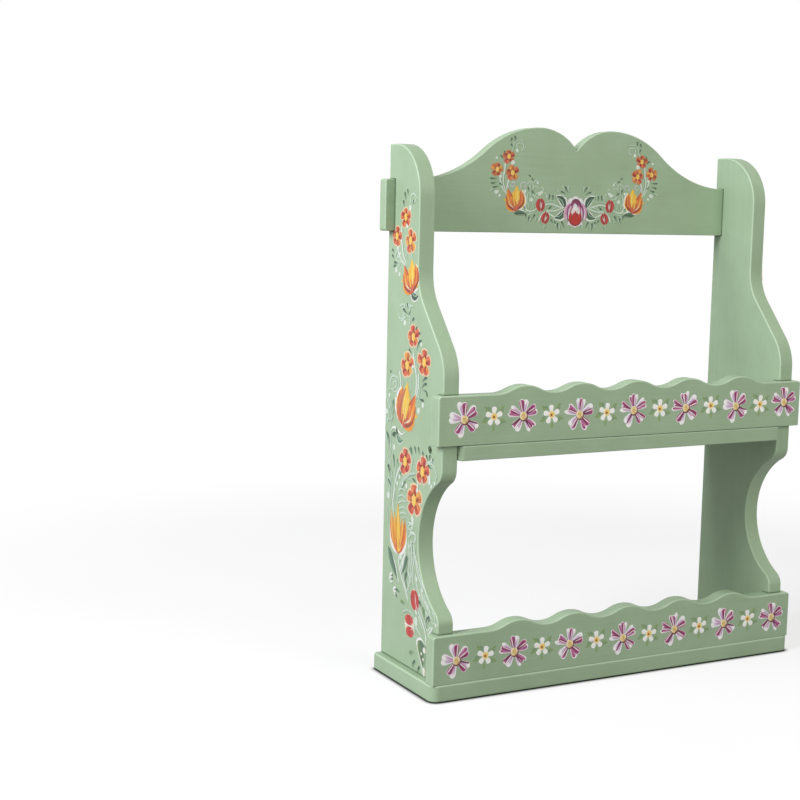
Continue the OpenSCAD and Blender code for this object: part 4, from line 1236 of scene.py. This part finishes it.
FLOOR_SIZE = 12.0
FLOOR_GREY = (140, 140, 140)
FLOOR_GREY_PALE = (143, 143, 143)
FLOOR_CLOUDS = 3.0      # clouds in its grey, for a metre
FLOOR_LIFT = 0.70       # glow that brings the lit floor up to white
# Painted contact shadow: the floor goes dark beside the base, and its glow fades near the rack
FLOOR_PAINTED_SHADOW = (52, 56, 50)       # the floor right beside the base
PAINTED_SHADOW_REACH = 0.004      # from the base, within which the floor goes dark
PAINTED_SHADOW_SPAN = (0.45, 0.85)        # openness at which it is darkest, and where it is clear
CONTACT_SHADOW_REACH = 0.006   # from the rack, within which the floor's glow fades
SHADOW_REACH = 0.55     # from the rack, up to which the floor keeps its shadows
WHITE_FROM = 1.1        # from the rack, beyond which the floor is plain white
PURE_WHITE = (1.0, 1.0, 1.0, 1.0)
WARM_WHITE = (1.0, 0.995, 0.985, 1.0)
WORLD_STRENGTH = 0.33


def pale_floor():
    """A plain white floor that keeps the rack's soft shadow, and a painted contact shadow right beside it."""
    half = FLOOR_SIZE / 2
    mesh = bpy.data.meshes.new("floor")
    mesh.from_pydata([(-half, -half, 0), (half, -half, 0), (half, half, 0), (-half, half, 0)], [],
                     [(0, 1, 2, 3)])
    shader = Shader("white_floor")
    place = shader.place()
    # Painted contact shadow: dark right beside the base
    open_share = shader.share(shader.openness(PAINTED_SHADOW_REACH), *PAINTED_SHADOW_SPAN)
    grey = shader.between(shader.spread(shader.noise(place, FLOOR_CLOUDS, 2.0)), FLOOR_GREY, FLOOR_GREY_PALE)
    matt = shader.add("BsdfDiffuse", Color=shader.between(open_share, FLOOR_PAINTED_SHADOW, grey)).outputs[0]
    # The glow fades near the rack, more painted contact shadow
    contact_shadow = shader.maths("POWER", shader.openness(CONTACT_SHADOW_REACH, 12), 2.0)
    glow = shader.maths("MULTIPLY", contact_shadow, shader.maths("MULTIPLY", open_share, FLOOR_LIFT))
    lift = shader.add("Emission", Color=PURE_WHITE, Strength=glow)
    near = shader.add("AddShader", _0=matt, _1=lift.outputs[0])
    white = shader.add("Emission", Color=PURE_WHITE, Strength=1.0)
    away = shader.add("VectorMath", {"operation": "LENGTH"}, _0=place).outputs["Value"]
    far_share = shader.add("MapRange", {"clamp": True, "interpolation_type": "SMOOTHSTEP"}, Value=away,
                           From_Min=SHADOW_REACH, From_Max=WHITE_FROM).outputs[0]
    shown = shader.add("MixShader", Fac=far_share, _1=near.outputs[0], _2=white.outputs[0])
    mixed = shader.add("MixShader", Fac=shader.seen(), _1=matt, _2=shown.outputs[0])
    shader.add("OutputMaterial", Surface=mixed.outputs[0])
    mesh.materials.append(shader.material)
    floor = place_in_scene("floor", mesh)


def white_world():
    """An even white surround, which shows as plain white behind the rack."""
    world = bpy.data.worlds.new("soft_white")
    bpy.context.scene.world = world
    world.use_nodes = True
    world.node_tree.nodes.clear()
    nodes = Nodes(world.node_tree)
    lamp = nodes.add("Background", Color=WARM_WHITE, Strength=WORLD_STRENGTH)
    backdrop = nodes.add("Background", Color=PURE_WHITE, Strength=1.0)
    mixed = nodes.add("MixShader", Fac=nodes.seen(), _1=lamp.outputs[0], _2=backdrop.outputs[0])
    nodes.add("OutputWorld", Surface=mixed.outputs[0])


def soft_lamp(name, place, aim, size, power, colour):
    """A square area lamp at place, facing aim. Places and size are in metres, and power is in watts."""
    data = bpy.data.lights.new(name, "AREA")
    data.shape = "SQUARE"
    data.size = size
    data.energy = power
    data.color = colour
    lamp = place_in_scene(name, data)
    lamp.location = place
    lamp.rotation_euler = (Vector(aim) - Vector(place)).to_track_quat("-Z", "Y").to_euler()


pale_floor()
white_world()
soft_lamp("key", (-2.35, -0.22, 1.7), (0.0, 0.0, 0.26), 1.4, 82.0, (0.985, 0.985, 1.05))
soft_lamp("fill", (0.1, -1.25, 0.9), (0.0, 0.0, 0.28), 0.9, 8.4, (1.0, 0.985, 0.91))

scene = bpy.context.scene
scene.view_settings.view_transform = "Standard"
